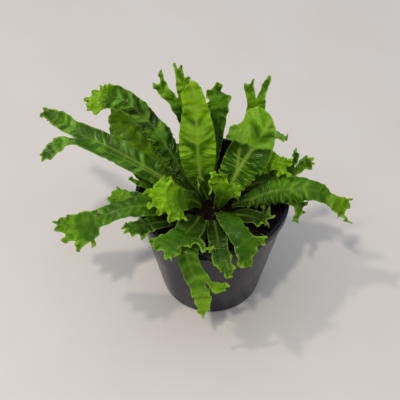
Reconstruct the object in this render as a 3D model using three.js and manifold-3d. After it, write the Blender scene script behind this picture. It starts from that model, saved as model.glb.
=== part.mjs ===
import * as THREE from 'three';
import { mergeVertices } from 'three/addons/utils/BufferGeometryUtils.js';
import Module from 'manifold-3d';

// A crested bird's-nest fern in a small plastic pot.
// Millimetres, +Z up, origin at the middle of the pot's underside.
// The fern's fronds are straps that fork into toothed crests at their ends.

const wasm = await Module();
wasm.setup();

// Pot
const potHeight = 107;
const rimRadius = 60;
const baseRadius = 42.5;
const baseEdge = 3; // how far the rounded lower edge reaches
const wall = 1.8;
const lipHeight = 8;
const lipStep = 1.6; // the lip stands this far out of the wall
const lipRound = 1.2;
const mouthEdge = 0.6; // chamfer inside the mouth
const potSides = 64;
const drainHoles = 6;
const drainRadius = 4;
const drainCircle = 27; // radius of the circle that the holes lie on
const drainSides = 12;

// Soil and crown
const seatGap = 0.3; // clearance between pieces that touch
const soilLevel = 91;
const soilSides = 44;
const soilRings = 5;
const soilBump = 1.4;
const soilRise = 2; // the soil's middle stands this much higher than its edge
const soilSeed = 5;
const crownRadius = 20;
const crownBottom = 80;
const crownShoulder = 93;
const crownTop = 98.5;
const crownSides = 28;
const crownBump = 0.5;
const crownBand = 4; // height of the straight band under its shoulder
const crownDome = [[1, 0], [0.72, 0.6], [0.4, 0.9], [0, 1]]; // shares of its radius and rise
const crownSeed = 11;
const crownHoleDepth = 40; // long enough to cut through the soil's top

// Fronds
const bladeDepth = 0.8; // thickness of a blade
const ribDepth = 0.7; // extra thickness of the stalk and midrib
const mainStep = 5.6; // length of a row of faces on a blade
const lobeStep = 4.6; // and on a lobe of a crest
const tipHalf = 0.6; // least half-width at a lobe's very end
const lobeNeck = 0.9; // a lobe's narrowing beside its neighbour, so that the notch opens
const lobeBlunt = 0.4; // a lobe's end, as a share of its width
const lobeBow = 0.4; // a lobe runs straight on for this share of its length before it turns
const capStart = 0.5; // where a lobe starts to close, as a share of its length
const fanStep = 7; // length of a row of faces on a fan
const fanCut = 0.45; // depth of a notch, as a share of the gap between its tips
const fanTip = 3.2; // width of a fan's tip
const tipShare = 0.28; // and its half-width is at most this share of the gap
const deepest = 0.7; // a notch reaches at most this far towards the fan's foot
const toothStart = 0.55; // teeth stand on the rest of a blade, as a share of its length
const flatBase = 12; // a stalk is flat this far, and waved from fullWave on
const fullWave = 38;
const socketReach = 19; // a stalk's socket follows it this far

const vec = ([x, y, z]) => new THREE.Vector3(x, y, z);
const slope = (rimRadius - lipStep - baseRadius) / (potHeight - lipHeight);
const wallRadius = (z) => baseRadius + slope * z; // outside of the wall at height z

function seeded(seed) {
  // a repeatable source of numbers from 0 to 1
  let state = seed * 7919 + 17;
  return () => {
    state = (state * 16807) % 2147483647;
    return state / 2147483647;
  };
}

function toSolid(geometry) {
  const bare = geometry.clone();
  bare.deleteAttribute('normal');
  bare.deleteAttribute('uv');
  const merged = mergeVertices(bare, 1e-4);
  return new wasm.Manifold(new wasm.Mesh({
    numProp: 3,
    vertProperties: new Float32Array(merged.attributes.position.array),
    triVerts: new Uint32Array(merged.index.array),
  }));
}

function toGeometry(solid) {
  const mesh = solid.getMesh();
  const geometry = new THREE.BufferGeometry();
  geometry.setAttribute('position', new THREE.BufferAttribute(mesh.vertProperties, 3));
  geometry.setIndex(new THREE.BufferAttribute(mesh.triVerts, 1));
  geometry.computeVertexNormals();
  return geometry;
}

function turned(profile, sides) {
  // a profile of [radius, height] pairs turned about the Z axis
  const outline = profile.map(([r, z]) => new THREE.Vector2(r, z));
  return new THREE.LatheGeometry(outline, sides).rotateX(Math.PI / 2);
}

// Pot: a tapered cup with a rounded lower edge, a lip and drain holes

function makePot() {
  const top = potHeight;
  const under = potHeight - lipHeight;
  const profile = [
    [0, 0],
    [baseRadius - baseEdge, 0],
    [baseRadius - baseEdge / 3, baseEdge / 5],
    [wallRadius(baseEdge), baseEdge],
    [wallRadius(under), under],
    [rimRadius - lipRound / 2, under],
    [rimRadius, under + lipRound],
    [rimRadius, top - lipRound],
    [rimRadius - lipRound, top],
    [rimRadius - lipStep - wall + mouthEdge, top],
    [rimRadius - lipStep - wall, top - mouthEdge],
    [wallRadius(under) - wall, under],
    [wallRadius(wall) - wall - baseEdge / 2, wall],
    [0, wall],
  ];
  let pot = toSolid(turned(profile, potSides));
  for (let i = 0; i < drainHoles; i += 1) {
    const angle = ((i + 0.5) / drainHoles) * Math.PI * 2;
    const drill = new THREE.CylinderGeometry(drainRadius, drainRadius, wall * 4, drainSides);
    drill.rotateX(Math.PI / 2);
    drill.translate(Math.cos(angle) * drainCircle, Math.sin(angle) * drainCircle, 0);
    pot = pot.subtract(toSolid(drill));
  }
  return toGeometry(pot);
}

// Soil: a plug that fills the pot, with a lumpy top and a hole for the crown

function lumpyTop(geometry, level, bump, seed, keepRadius) {
  // lifts and lowers the points of a top face, except those near the outer edge
  const draw = seeded(seed);
  const bare = geometry.clone();
  bare.deleteAttribute('normal');
  bare.deleteAttribute('uv');
  const merged = mergeVertices(bare, 1e-4);
  const place = merged.attributes.position;
  for (let i = 0; i < place.count; i += 1) {
    const radius = Math.hypot(place.getX(i), place.getY(i));
    const shift = (draw() - 0.5) * 2 * bump;
    if (place.getZ(i) > level && radius < keepRadius) {
      place.setZ(i, place.getZ(i) + shift);
    }
  }
  return merged;
}

function makeSoil() {
  const floor = wall + seatGap;
  const inside = (z) => wallRadius(z) - wall - seatGap;
  const edge = inside(soilLevel);
  const profile = [
    [0, floor],
    [inside(floor) - baseEdge / 2, floor],
    [edge, soilLevel],
  ];
  for (let ring = 1; ring < soilRings; ring += 1) {
    const share = ring / soilRings;
    profile.push([edge * (1 - share), soilLevel + Math.sin(share * Math.PI / 2) * soilRise]);
  }
  profile.push([0, soilLevel + soilRise]);
  const lumpy = lumpyTop(turned(profile, soilSides), soilLevel - 1, soilBump, soilSeed, edge - 1);
  const radius = crownRadius + seatGap;
  const drill = new THREE.CylinderGeometry(radius, radius, crownHoleDepth, crownSides);
  drill.rotateX(Math.PI / 2);
  drill.translate(0, 0, crownBottom - seatGap + crownHoleDepth / 2);
  return toGeometry(toSolid(lumpy).subtract(toSolid(drill)));
}

// Fronds: each one is a strip of rows along a spine, which forks into lobes

function smoothAlong(values, t) {
  // reads evenly spaced numbers as one smooth curve, for t from 0 to 1
  const last = values.length - 1;
  const spot = THREE.MathUtils.clamp(t, 0, 1) * last;
  const i = Math.min(Math.floor(spot), last - 1);
  const f = spot - i;
  const at = (k) => values[THREE.MathUtils.clamp(k, 0, last)];
  const [a, b, c, d] = [at(i - 1), at(i), at(i + 1), at(i + 2)];
  const bend = (2 * a - 5 * b + 4 * c - d) * f * f + (3 * b - a - 3 * c + d) * f * f * f;
  return 0.5 * (2 * b + (c - a) * f + bend);
}

function roundEnd(t, blunt) {
  // rounds off the last stretch of a lobe to a blunt end
  const past = Math.max(t - capStart, 0) / (1 - capStart);
  return Math.sqrt(1 - past * past * (1 - blunt * blunt));
}

function faceAlong(faces, t, tangent) {
  // which way the upper face looks at t, square to the blade's path
  const last = faces.length - 1;
  const spot = THREE.MathUtils.clamp(t, 0, 1) * last;
  const i = Math.min(Math.floor(spot), Math.max(last - 1, 0));
  const face = vec(faces[i]).lerp(vec(faces[Math.min(i + 1, last)]), spot - i);
  return face.projectOnPlane(tangent).normalize();
}

function joinRows(blade, low, high) {
  // faces between two rows, where the higher one may have twice as many steps
  const twice = high.length > low.length;
  for (let i = 0; i + 1 < low.length; i += 1) {
    const [a, b] = [low[i], low[i + 1]];
    if (twice) {
      const [c, m, d] = high.slice(2 * i, 2 * i + 3);
      blade.faces.push([a, b, m], [a, m, c], [b, d, m]);
    } else {
      const [c, d] = [high[i], high[i + 1]];
      const across = blade.points[a].distanceTo(blade.points[d]);
      const other = blade.points[b].distanceTo(blade.points[c]);
      if (across < other) blade.faces.push([a, b, d], [a, d, c]);
      else blade.faces.push([a, b, c], [b, d, c]);
    }
  }
}

function addPoint(blade, point, depth) {
  blade.points.push(point);
  blade.depths.push(depth);
  return blade.points.length - 1;
}

function growSides(blade, rows, frames, lobes) {
  // lobes that grow out of a margin, from the row at lobe.at over lobe.steps rows
  for (const lobe of lobes) {
    const first = Math.round(lobe.at * (rows.length - 1));
    const edge = rows.slice(first, first + lobe.steps + 1);
    const { side, face } = frames[first];
    if (lobe.margin === 'right') {
      const line = edge.map((row) => row[row.length - 1]).reverse();
      growLobe(blade, line, side, face, { ...lobe, take: lobe.steps });
    } else {
      const line = edge.map((row) => row[0]);
      growLobe(blade, line, side.clone().negate(), face, { ...lobe, take: lobe.steps });
    }
  }
}

function growLobes(blade, row, tangent, face, lobes) {
  let first = 0;
  for (const lobe of lobes) {
    growLobe(blade, row.slice(first, first + lobe.take + 1), tangent, face, lobe);
    first += lobe.take;
  }
}

function growLobe(blade, firstRow, tangent, firstFace, lobe) {
  // a lobe runs from its share of the last row to the point lobe.to
  const left = blade.points[firstRow[0]];
  const right = blade.points[firstRow[firstRow.length - 1]];
  const start = left.clone().add(right).multiplyScalar(0.5);
  const startHalf = left.distanceTo(right) / 2;
  const target = vec(lobe.to);
  const reach = start.distanceTo(target);
  const middle = start.clone().addScaledVector(tangent, reach * lobeBow);
  middle.addScaledVector(firstFace, lobe.bow ?? 0);
  const path = new THREE.QuadraticBezierCurve3(start, middle, target);
  const children = lobe.lobes ?? [];
  const open = children.length > 0 || lobe.fan; // more grows from its end
  const wide = lobe.wide ?? startHalf;
  const halves = [startHalf, Math.min(startHalf, wide) * lobeNeck, wide, wide];
  const rows = Math.max(2, Math.round(path.getLength() / lobeStep));
  const face = firstFace.clone();
  const carry = [];
  let row = firstRow;
  let along = tangent;
  for (let k = 0; k <= rows; k += 1) {
    const t = k / rows;
    const center = path.getPointAt(t);
    along = path.getTangentAt(t);
    if (lobe.face) face.copy(firstFace).lerp(vec(lobe.face), t);
    face.projectOnPlane(along).normalize();
    const side = along.clone().cross(face);
    const cap = open ? 1 : roundEnd(t, lobe.blunt ?? lobeBlunt);
    const half = Math.max(smoothAlong(halves, t) * cap, tipHalf);
    const ends = k === rows && children.length > 0;
    const steps = ends ? children.reduce((sum, child) => sum + child.take, 0) : lobe.take;
    const next = [];
    for (let j = 0; j <= steps; j += 1) {
      const u = (2 * j) / steps - 1;
      const point = center.clone().addScaledVector(side, u * half);
      if (k === 0) {
        carry.push(blade.points[firstRow[j]].clone().sub(point));
      } else {
        point.addScaledVector(face, (lobe.cup ?? 0) * u * u * t);
        point.addScaledVector(carry[Math.floor((j * lobe.take) / steps)], (1 - t) ** 2);
        next.push(addPoint(blade, point, blade.depth / 2));
      }
    }
    if (k > 0) {
      joinRows(blade, row, next);
      row = next;
    }
  }
  growLobes(blade, row, along, face, children);
  if (lobe.fan) growFan(blade, row, along, face, lobe.fan);
}

function fanMargin({ tips, cut = fanCut, wide = fanTip, ruffle = 0 }, half) {
  // corners of a fan's margin as [across, ahead, lift]: two to a tip and one to a notch
  const spots = tips.map(([angle, reach]) => {
    const turn = THREE.MathUtils.degToRad(angle);
    return new THREE.Vector2(Math.sin(turn) * reach, Math.cos(turn) * reach);
  });
  const line = [new THREE.Vector2(-half, 0), ...spots, new THREE.Vector2(half, 0)];
  const lifts = tips.map(([, , lift = 0]) => lift);
  const margin = [];
  spots.forEach((spot, i) => {
    const [before, after] = [line[i], line[i + 2]];
    if (i > 0) {
      const gap = spot.distanceTo(before);
      const notch = spot.clone().add(before).multiplyScalar(0.5);
      const inward = new THREE.Vector2((2 * i / tips.length - 1) * half, 0).sub(notch);
      const depth = Math.min(gap * cut, inward.length() * deepest);
      notch.add(inward.setLength(depth));
      margin.push([notch.x, notch.y, (lifts[i] + lifts[i - 1]) / 2 - ruffle]);
    }
    for (const [next, way] of [[before, -1], [after, 1]]) {
      const share = Math.min(wide / 2 / spot.distanceTo(next), tipShare);
      const corner = spot.clone().lerp(next, share);
      margin.push([corner.x, corner.y, lifts[i] + way * ruffle]);
    }
  });
  return margin;
}

function joinUneven(blade, low, high) {
  // faces between two rows with any numbers of steps
  let [i, j] = [0, 0];
  while (i + 1 < low.length || j + 1 < high.length) {
    const nextLow = (i + 1) / (low.length - 1);
    const nextHigh = (j + 1) / (high.length - 1);
    if (j + 1 < high.length && nextHigh <= nextLow) {
      blade.faces.push([low[i], high[j + 1], high[j]]);
      j += 1;
    } else {
      blade.faces.push([low[i], low[i + 1], high[j]]);
      i += 1;
    }
  }
}

function growFan(blade, firstRow, tangent, face, fan) {
  // a crest spread like a hand, whose tips lie at fan.tips: [angle, reach, lift] from the
  // middle of the row it grows from. fan.bend is the radius that it curls down with.
  const ends = [blade.points[firstRow[0]], blade.points[firstRow[firstRow.length - 1]]];
  const origin = ends[0].clone().add(ends[1]).multiplyScalar(0.5);
  const half = ends[0].distanceTo(ends[1]) / 2;
  const side = tangent.clone().cross(face);
  const margin = fanMargin(fan, half);
  const steps = margin.length - 1;
  const rows = Math.max(2, Math.round(Math.max(...fan.tips.map((tip) => tip[1])) / fanStep));
  let row = firstRow;
  for (let k = 1; k <= rows; k += 1) {
    const t = k / rows;
    const next = margin.map(([marginAcross, marginAhead, lift], j) => {
      const start = (2 * j / steps - 1) * half;
      const across = start + (marginAcross - start) * t;
      const ahead = marginAhead * t;
      const turn = fan.bend && ahead > 0 ? ahead / fan.bend : 0;
      const point = origin.clone().addScaledVector(side, across);
      point.addScaledVector(tangent, turn ? fan.bend * Math.sin(turn) : ahead);
      point.addScaledVector(face, lift * t * t - (turn ? fan.bend * (1 - Math.cos(turn)) : 0));
      const spot = (j / steps) * (firstRow.length - 1);
      const i = Math.min(Math.floor(spot), firstRow.length - 2);
      const carry = blade.points[firstRow[i]].clone().lerp(blade.points[firstRow[i + 1]], spot - i);
      carry.sub(origin).addScaledVector(side, -start);
      return addPoint(blade, point.addScaledVector(carry, (1 - t) ** 2), blade.depth / 2);
    });
    if (k === 1) joinUneven(blade, row, next);
    else joinRows(blade, row, next);
    row = next;
  }
}

function growBlade(frond, { room = 0, reach = Infinity, across = frond.across } = {}) {
  // room widens and thickens the blade, and reach keeps only its first stretch
  const blade = { points: [], depths: [], faces: [], depth: bladeDepth };
  const spine = new THREE.CatmullRomCurve3(frond.spine.map(vec), false, 'centripetal');
  const length = spine.getLength();
  const rows = Math.round(length / mainStep);
  const { height, every, start = 0, skew = Math.PI * 0.6 } = frond.wave ?? { height: 0, every: 20 };
  const grid = [];
  const frames = [];
  for (let k = 0; k <= rows && (k * length) / rows <= reach; k += 1) {
    const t = k / rows;
    const center = spine.getPointAt(t);
    const tangent = spine.getTangentAt(t);
    const face = faceAlong(frond.faces, t, tangent);
    if (k === 0) center.addScaledVector(tangent, -room);
    const side = tangent.clone().cross(face);
    const last = k === rows;
    const steps = last && frond.lobes ? frond.lobes.reduce((sum, lobe) => sum + lobe.take, 0) : across;
    const tooth = k % 2 === 1 && t > toothStart && !last ? frond.teeth ?? 0 : 0;
    const half = smoothAlong(frond.half, t) + tooth + room;
    const grown = THREE.MathUtils.smoothstep(t * length, flatBase, fullWave);
    const next = [];
    for (let j = 0; j <= steps; j += 1) {
      const u = (2 * j) / steps - 1;
      const phase = (Math.PI * 2 * t * length) / every + start + (u > 0 ? skew : 0);
      const lift = (frond.fold ?? 0) * u * u + height * Math.abs(u) ** 1.5 * Math.sin(phase);
      const point = center.clone().addScaledVector(side, u * half);
      point.addScaledVector(face, lift * grown);
      const rib = ribDepth * (1 - Math.abs(u)) * (1 - t);
      next.push(addPoint(blade, point, (bladeDepth + rib) / 2 + room));
    }
    if (k > 0) joinRows(blade, grid[k - 1], next);
    grid.push(next);
    frames.push({ tangent, side, face });
  }
  if (reach === Infinity) {
    const { tangent, face } = frames[rows];
    growLobes(blade, grid[rows], tangent, face, frond.lobes ?? []);
    if (frond.fan) growFan(blade, grid[rows], tangent, face, frond.fan);
    growSides(blade, grid, frames, frond.sides ?? []);
  }
  return blade;
}

function thicken(blade) {
  // the same faces on both sides of the blade's middle surface, and a wall round its edge
  const count = blade.points.length;
  const normals = blade.points.map(() => new THREE.Vector3());
  const edges = new Map();
  for (const [a, b, c] of blade.faces) {
    const one = blade.points[b].clone().sub(blade.points[a]);
    const normal = one.cross(blade.points[c].clone().sub(blade.points[a]));
    for (const corner of [a, b, c]) normals[corner].add(normal);
    for (const [from, to] of [[a, b], [b, c], [c, a]]) {
      if (!edges.delete(`${to},${from}`)) edges.set(`${from},${to}`, [from, to]);
    }
  }
  const corners = [];
  for (const way of [1, -1]) {
    blade.points.forEach((point, i) => {
      const offset = normals[i].clone().normalize().multiplyScalar(way * blade.depths[i]);
      corners.push(...point.clone().add(offset).toArray());
    });
  }
  const index = [];
  for (const [a, b, c] of blade.faces) index.push(a, b, c, c + count, b + count, a + count);
  for (const [a, b] of edges.values()) index.push(b, a, a + count, b, a + count, b + count);
  const geometry = new THREE.BufferGeometry();
  geometry.setAttribute('position', new THREE.Float32BufferAttribute(corners, 3));
  geometry.setIndex(index);
  geometry.computeVertexNormals();
  return geometry;
}

// Leaf colours
const leafYoung = '#7fbf1f';
const leafMid = '#4f8f1a';
const leafDark = '#24520c';
const leafOlive = '#56730f';

// Every frond. spine: its path from the crown to its first fork. half: half-widths, evenly
// spaced along the spine. faces: where the upper face looks, evenly spaced too. Lobes are
// listed from the left-hand margin to the right-hand one, as seen from the upper face
// looking away from the crown. take: how many of the last row's steps a lobe grows from.
// fan: a crest spread like a hand at the end of a blade or lobe, with tips as [angle,
// reach, lift], the angles from left to right in degrees. sides: lobes that grow from a margin.
const fronds = [
  {
    name: 'frond_left_long',
    colour: leafMid,
    spine: [[-11, 2, 88], [-14, 3, 97], [-29, 3, 112], [-52, 7, 129], [-78, 16, 140], [-101, 26, 144]],
    half: [1.6, 4, 8.5, 9.5, 9.5, 9],
    faces: [[0.8, -0.3, 0.5], [0.3, -0.4, 0.85], [0, -0.5, 0.87]],
    wave: { height: 0.9, every: 26 },
    fold: 1.2,
    across: 4,
    lobes: [
      {
        take: 1, to: [-113, 21, 141], wide: 4.5,
        fan: {
          tips: [[-42, 17], [-31, 23.5], [-12, 22], [1, 14], [38, 9.5]],
        },
      },
      {
        take: 3, to: [-119, 45, 142], wide: 7,
        fan: {
          tips: [[-28, 14.5], [-18, 28.5], [-1, 30]],
          cut: 0.7,
        },
      },
    ],
  },
  {
    name: 'frond_left_arching',
    colour: leafDark,
    spine: [
      [-7, 5, 88], [-10, 7, 98], [-20, 10, 113], [-31, 14, 134], [-41, 21, 150], [-52, 29, 160],
      [-64, 36, 168], [-75, 40, 170],
    ],
    half: [1.6, 3.5, 7, 8.5, 8.5, 8, 8, 9],
    faces: [[0.9, -0.4, 0.2], [0.6, -0.7, 0.4], [0.2, -0.7, 0.7]],
    wave: { height: 3, every: 24 },
    fold: 1,
    across: 4,
    fan: {
      tips: [[-68, 19.5], [-47, 23], [-27, 22.5], [-4, 16.5], [32, 10]],
      cut: 0.38, ruffle: 0.6, bend: 50,
    },
  },
  {
    name: 'frond_left_behind',
    colour: leafOlive,
    spine: [[-9, 7, 88], [-13, 10, 98], [-27, 18, 109], [-46, 28, 119], [-65, 38, 133]],
    half: [1.6, 3.5, 9, 12, 11],
    faces: [[0.7, -0.4, 0.6], [0.2, -0.5, 0.85], [0.1, -0.5, 0.85]],
    wave: { height: 1.4, every: 30 },
    fold: -1,
    across: 4,
    fan: { tips: [[-34, 16.5], [-4, 20], [15, 26], [34, 22.5], [47, 14.5], [83, 13]], cut: 0.25, wide: 4 },
  },
  {
    name: 'frond_upright_middle',
    colour: leafYoung,
    spine: [[-3, 6, 88], [-6, 7, 99], [-9, 8, 112], [-11, 11, 132], [-12, 14, 158], [-13, 18, 181]],
    half: [1.8, 5, 12, 13.8, 12.5, 9],
    faces: [[0.2, -1, 0.1], [0.05, -1, 0.3], [0, -0.9, 0.5]],
    wave: { height: 1.1, every: 15, skew: 0 },
    fold: 1.6,
    across: 4,
    fan: { tips: [[-39, 16], [-17, 19.5], [-4, 21.5], [8, 21], [20, 15]], cut: 0.25 },
  },
  {
    name: 'frond_back_left_antler',
    colour: leafMid,
    spine: [[-5, 9, 88], [-7, 13, 99], [-10, 24, 120], [-15, 31, 145], [-20, 33, 162], [-25, 34, 172]],
    half: [1.6, 3, 6, 7.5, 8, 8],
    faces: [[0.3, -1, 0.3], [0.2, -1, 0.2], [-0.1, -0.9, 0.4]],
    wave: { height: 1, every: 20 },
    fold: 1,
    teeth: 1.2,
    across: 4,
    lobes: [
      {
        take: 2, to: [-36, 36, 178], wide: 4.8,
        fan: {
          tips: [[-6, 11.5], [44, 18.5]],
          cut: 0.9, wide: 3.6,
        },
      },
      {
        take: 2, to: [-22, 38, 184], wide: 5.2,
        fan: {
          tips: [[-34, 18], [-13, 13.5], [41, 6.5], [68, 9]],
          cut: 0.8, wide: 3.6, bend: 40,
        },
      },
    ],
  },
  {
    name: 'frond_back_right_rolled',
    colour: leafMid,
    spine: [[-1, 9, 88], [-1, 13, 99], [1, 24, 112], [4, 35, 128], [4, 42, 142], [4, 46, 150]],
    half: [1.6, 2, 2.6, 3.4, 5, 8],
    faces: [[0, -1, 0.3], [0.1, -1, 0.3], [0.2, -0.9, 0.5]],
    fold: 1.6,
    across: 4,
    fan: { tips: [[-63, 11.5], [-25, 20], [5, 22.5], [42, 15.5]], cut: 0.3, ruffle: 1, bend: 30 },
  },
  {
    name: 'frond_back_right_fingers',
    colour: leafMid,
    spine: [[3, 8, 88], [5, 12, 99], [16, 25, 113], [27, 37, 131], [33, 43, 148], [33, 46, 160]],
    half: [1.6, 3.5, 8, 8.5, 7.5, 7],
    faces: [[0.2, -1, 0.4], [0.1, -1, 0.4], [0, -0.9, 0.4]],
    wave: { height: 1, every: 24 },
    fold: 1,
    across: 4,
    lobes: [
      { take: 2, to: [27, 49, 170], wide: 3.8, fan: { tips: [[-26, 6], [50, 9]], cut: 0.7, wide: 2.6 } },
      { take: 2, to: [43, 53, 178], wide: 2.8 },
    ],
  },
  {
    name: 'frond_right_waved',
    colour: leafMid,
    spine: [[6, 2, 88], [9, 1, 98], [15, 4, 115], [22, 8, 130], [29, 12, 142]],
    half: [1.8, 5, 11.5, 15, 16],
    faces: [[-0.5, -0.8, 0.4], [-0.2, -0.8, 0.6], [0, -0.8, 0.6]],
    wave: { height: 3.2, every: 27 },
    fold: 1,
    across: 6,
    fan: {
      tips: [
        [-97, 22.5, 1], [-65, 26.5, 2], [-53, 21], [-37, 31, -1], [-18, 36], [1, 31.5, 1], [22, 24, 1],
      ],
      cut: 0.1, wide: 6, bend: 34,
    },
  },
  {
    name: 'frond_middle_frilly',
    colour: leafYoung,
    spine: [[2, -4, 88], [4, -8, 98], [6, -9, 107], [8, -8, 113]],
    half: [1.5, 3, 4.5, 6],
    faces: [[0, -1, 0.1], [0, -0.9, 0.4], [0, -0.8, 0.6]],
    fold: -1,
    across: 4,
    fan: {
      tips: [
        [-85, 13.5, 1], [-54, 21, 1], [-35, 22], [-18, 16.5, 1], [21, 17, 1], [54, 17], [75, 11.5, 2],
      ],
      cut: 0.42, ruffle: 1, bend: 30,
    },
  },
  {
    name: 'frond_right_lit',
    colour: leafYoung,
    spine: [[9, 4, 88], [12, 6, 97], [23, 12, 109], [34, 14, 122], [44, 12, 130]],
    half: [1.6, 2.6, 6, 8, 8],
    faces: [[-0.5, -0.3, 0.8], [-0.2, -0.7, 0.7], [0, -0.7, 0.7]],
    wave: { height: 2, every: 22 },
    fold: -1,
    across: 4,
    fan: {
      tips: [[5, 11], [22, 15], [41, 16.5], [66, 18.5], [87, 14.5]],
      cut: 0.42, ruffle: 0.8, bend: 26,
    },
  },
  {
    name: 'frond_right_small_upright',
    colour: leafMid,
    spine: [[13, 6, 88], [17, 8, 97], [33, 12, 103], [49, 15, 107], [62, 16, 116]],
    half: [1.6, 3, 5.5, 6, 6],
    faces: [[-0.6, -0.1, 0.8], [-0.3, -0.3, 0.9], [-0.5, -0.6, 0.6]],
    fold: 1,
    across: 4,
    lobes: [
      { take: 2, to: [63, 18, 136], wide: 3, blunt: 0.55, bow: 1 },
      {
        take: 2, to: [70, 15, 122], wide: 4,
        fan: {
          tips: [[-25, 9], [10, 10.5], [41, 10.5], [85, 7.5]],
          cut: 0.55, wide: 3,
        },
      },
    ],
  },
  {
    name: 'frond_right_long',
    colour: leafMid,
    spine: [
      [12, -3, 88], [16, -4, 97], [30, -6, 106], [48, -5, 114], [66, -5, 117], [82, -6, 114],
      [91, -8, 107],
    ],
    half: [1.6, 4, 8, 10, 9.5, 7, 5],
    faces: [[-0.5, -0.1, 0.8], [-0.1, -0.2, 1], [0.3, -0.5, 0.8]],
    wave: { height: 1.2, every: 20 },
    fold: -1,
    teeth: 1.8,
    across: 4,
    fan: { tips: [[-34, 21], [-17, 21.5], [15, 27], [24, 16]], cut: 0.7, wide: 3 },
  },
  {
    name: 'frond_right_low',
    colour: leafDark,
    spine: [[11, -8, 88], [14, -13, 95], [21, -17, 100], [28, -20, 102], [33, -23, 103]],
    half: [1.6, 3, 6, 7.5, 7.5],
    faces: [[-0.5, 0.2, 0.8], [0, 0, 1], [0.1, 0.1, 1]],
    wave: { height: 0.8, every: 18 },
    fold: 1,
    across: 4,
    fan: { tips: [[-100, 13.5], [-72, 16.5], [-35, 15], [15, 14], [43, 9]], cut: 0.5, ruffle: 0.8 },
  },
  {
    name: 'frond_right_drooping',
    colour: leafOlive,
    spine: [[15, 1, 88], [19, 1, 95], [34, -1, 99], [50, -5, 107], [61, -9, 109], [67, -12, 104]],
    half: [1.6, 2.8, 4, 4.5, 5, 5],
    faces: [[-0.5, 0, 0.8], [-0.1, -0.2, 0.95], [0.5, -0.3, 0.8]],
    fold: -0.6,
    across: 4,
    fan: { tips: [[-57, 9.5], [5, 8], [65, 15], [87, 15.5]], cut: 0.6 },
  },
  {
    name: 'frond_front_arching',
    colour: leafMid,
    spine: [[5, -10, 88], [6, -14, 99], [9, -25, 112], [12, -36, 118], [17, -46, 118], [22, -53, 113]],
    half: [1.8, 5, 7.5, 8, 7.5, 8],
    faces: [[0, 0.9, 0.4], [0.1, 0, 1], [0.1, -0.8, 0.6]],
    wave: { height: 0.7, every: 30 },
    fold: -1.5,
    across: 4,
    fan: {
      tips: [[-73, 20], [-52, 15.5], [-13, 13], [12, 23], [25, 19], [40, 19]],
      cut: 0.55, wide: 3.4, ruffle: 0.6, bend: 40,
    },
  },
  {
    name: 'frond_front_under',
    colour: leafDark,
    spine: [[1, -14, 88], [1, -19, 96], [2, -33, 104], [3, -47, 111], [4, -58, 111.5]],
    half: [1.6, 3, 6.5, 7, 7],
    faces: [[0, 0.9, 0.4], [0, 0, 1], [0, -0.7, 0.7]],
    wave: { height: 1.2, every: 20 },
    across: 4,
    fan: {
      tips: [[-30, 18.5], [-18, 23.5], [-5, 22.5], [7, 17.5], [25, 12]],
      cut: 0.5, ruffle: 0.8, bend: 26,
    },
  },
  {
    name: 'frond_front_hanging',
    colour: leafYoung,
    spine: [
      [-5, -12, 88], [-5, -18, 94.5], [-8, -33, 100.5], [-15, -49, 109.5], [-19, -60, 110.5], [-16, -67, 99],
      [-11, -69, 86],
    ],
    half: [1.7, 2.8, 5, 7, 7.5, 7.5, 9],
    faces: [[0, 0.9, 0.4], [0, 0, 1], [-0.1, -0.7, 0.7], [0.1, -1, 0.1]],
    wave: { height: 0.8, every: 26 },
    fold: -1,
    across: 4,
    lobes: [
      {
        take: 1, to: [3, -70, 79], wide: 4.2, face: [0, -0.8, 0.6],
        fan: {
          tips: [[-81, 9], [-43, 10.5], [-11, 8.5]],
          cut: 0.5,
        },
      },
      {
        take: 3, to: [-8, -71, 68], wide: 7,
        fan: {
          tips: [[-10, 16.5], [14, 25], [27, 17], [67, 8]],
          cut: 0.35, wide: 3.6,
        },
      },
    ],
  },
  {
    name: 'frond_front_left_rim',
    colour: leafDark,
    spine: [[-9, -9, 88], [-10, -15, 96], [-12, -28, 106], [-16, -40, 114], [-20, -49, 117]],
    half: [1.6, 3, 6.5, 9.5, 11],
    faces: [[0.4, 0.6, 0.6], [0, 0, 1], [-0.2, -0.4, 0.9]],
    wave: { height: 1.6, every: 22 },
    across: 4,
    fan: {
      tips: [[-70, 26.5], [-65, 19.5], [-38, 12.5], [-5, 27], [10, 27.5], [32, 27], [50, 29.5]],
      cut: 0.5, ruffle: 0.8, bend: 60,
    },
  },
  {
    name: 'frond_left_low_long',
    colour: leafMid,
    spine: [
      [-13, -5, 88], [-17, -7, 97], [-32, -14, 108], [-53, -21, 116], [-72, -26, 116],
      [-86, -29, 111],
    ],
    half: [1.6, 4, 8, 8, 6.5, 7],
    faces: [[0.6, 0, 0.8], [0.1, -0.2, 0.95], [-0.2, -0.4, 0.9]],
    wave: { height: 0.8, every: 30 },
    fold: -0.8,
    teeth: 0.8,
    across: 4,
    fan: {
      tips: [[-64, 24], [-36, 31.5], [-10, 35], [9, 40], [21, 40.5], [27, 27.5]],
      cut: 0.8, wide: 4, bend: 110,
    },
  },
  {
    name: 'frond_left_dark_low',
    colour: leafDark,
    spine: [[-13, -11, 87], [-16, -13, 95], [-28, -21, 99], [-41, -30, 107], [-49, -35, 111]],
    half: [1.6, 2.4, 4, 5.5, 6.5],
    faces: [[0.6, 0.2, 0.8], [0.1, -0.1, 1], [-0.2, -0.3, 0.9]],
    wave: { height: 1, every: 20 },
    across: 4,
    fan: { tips: [[-54, 13], [-28, 17], [-10, 21], [10, 21.5]], cut: 0.45 },
  },
  {
    name: 'frond_left_strap',
    colour: leafMid,
    spine: [[-14, -1, 88], [-18, -2, 96], [-34, -6, 103], [-50, -9, 110], [-64, -9, 112]],
    half: [1.6, 3, 5, 5, 5],
    faces: [[0.6, 0, 0.8], [0.1, -0.1, 1], [-0.1, -0.3, 0.9]],
    fold: -0.8,
    across: 4,
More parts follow.
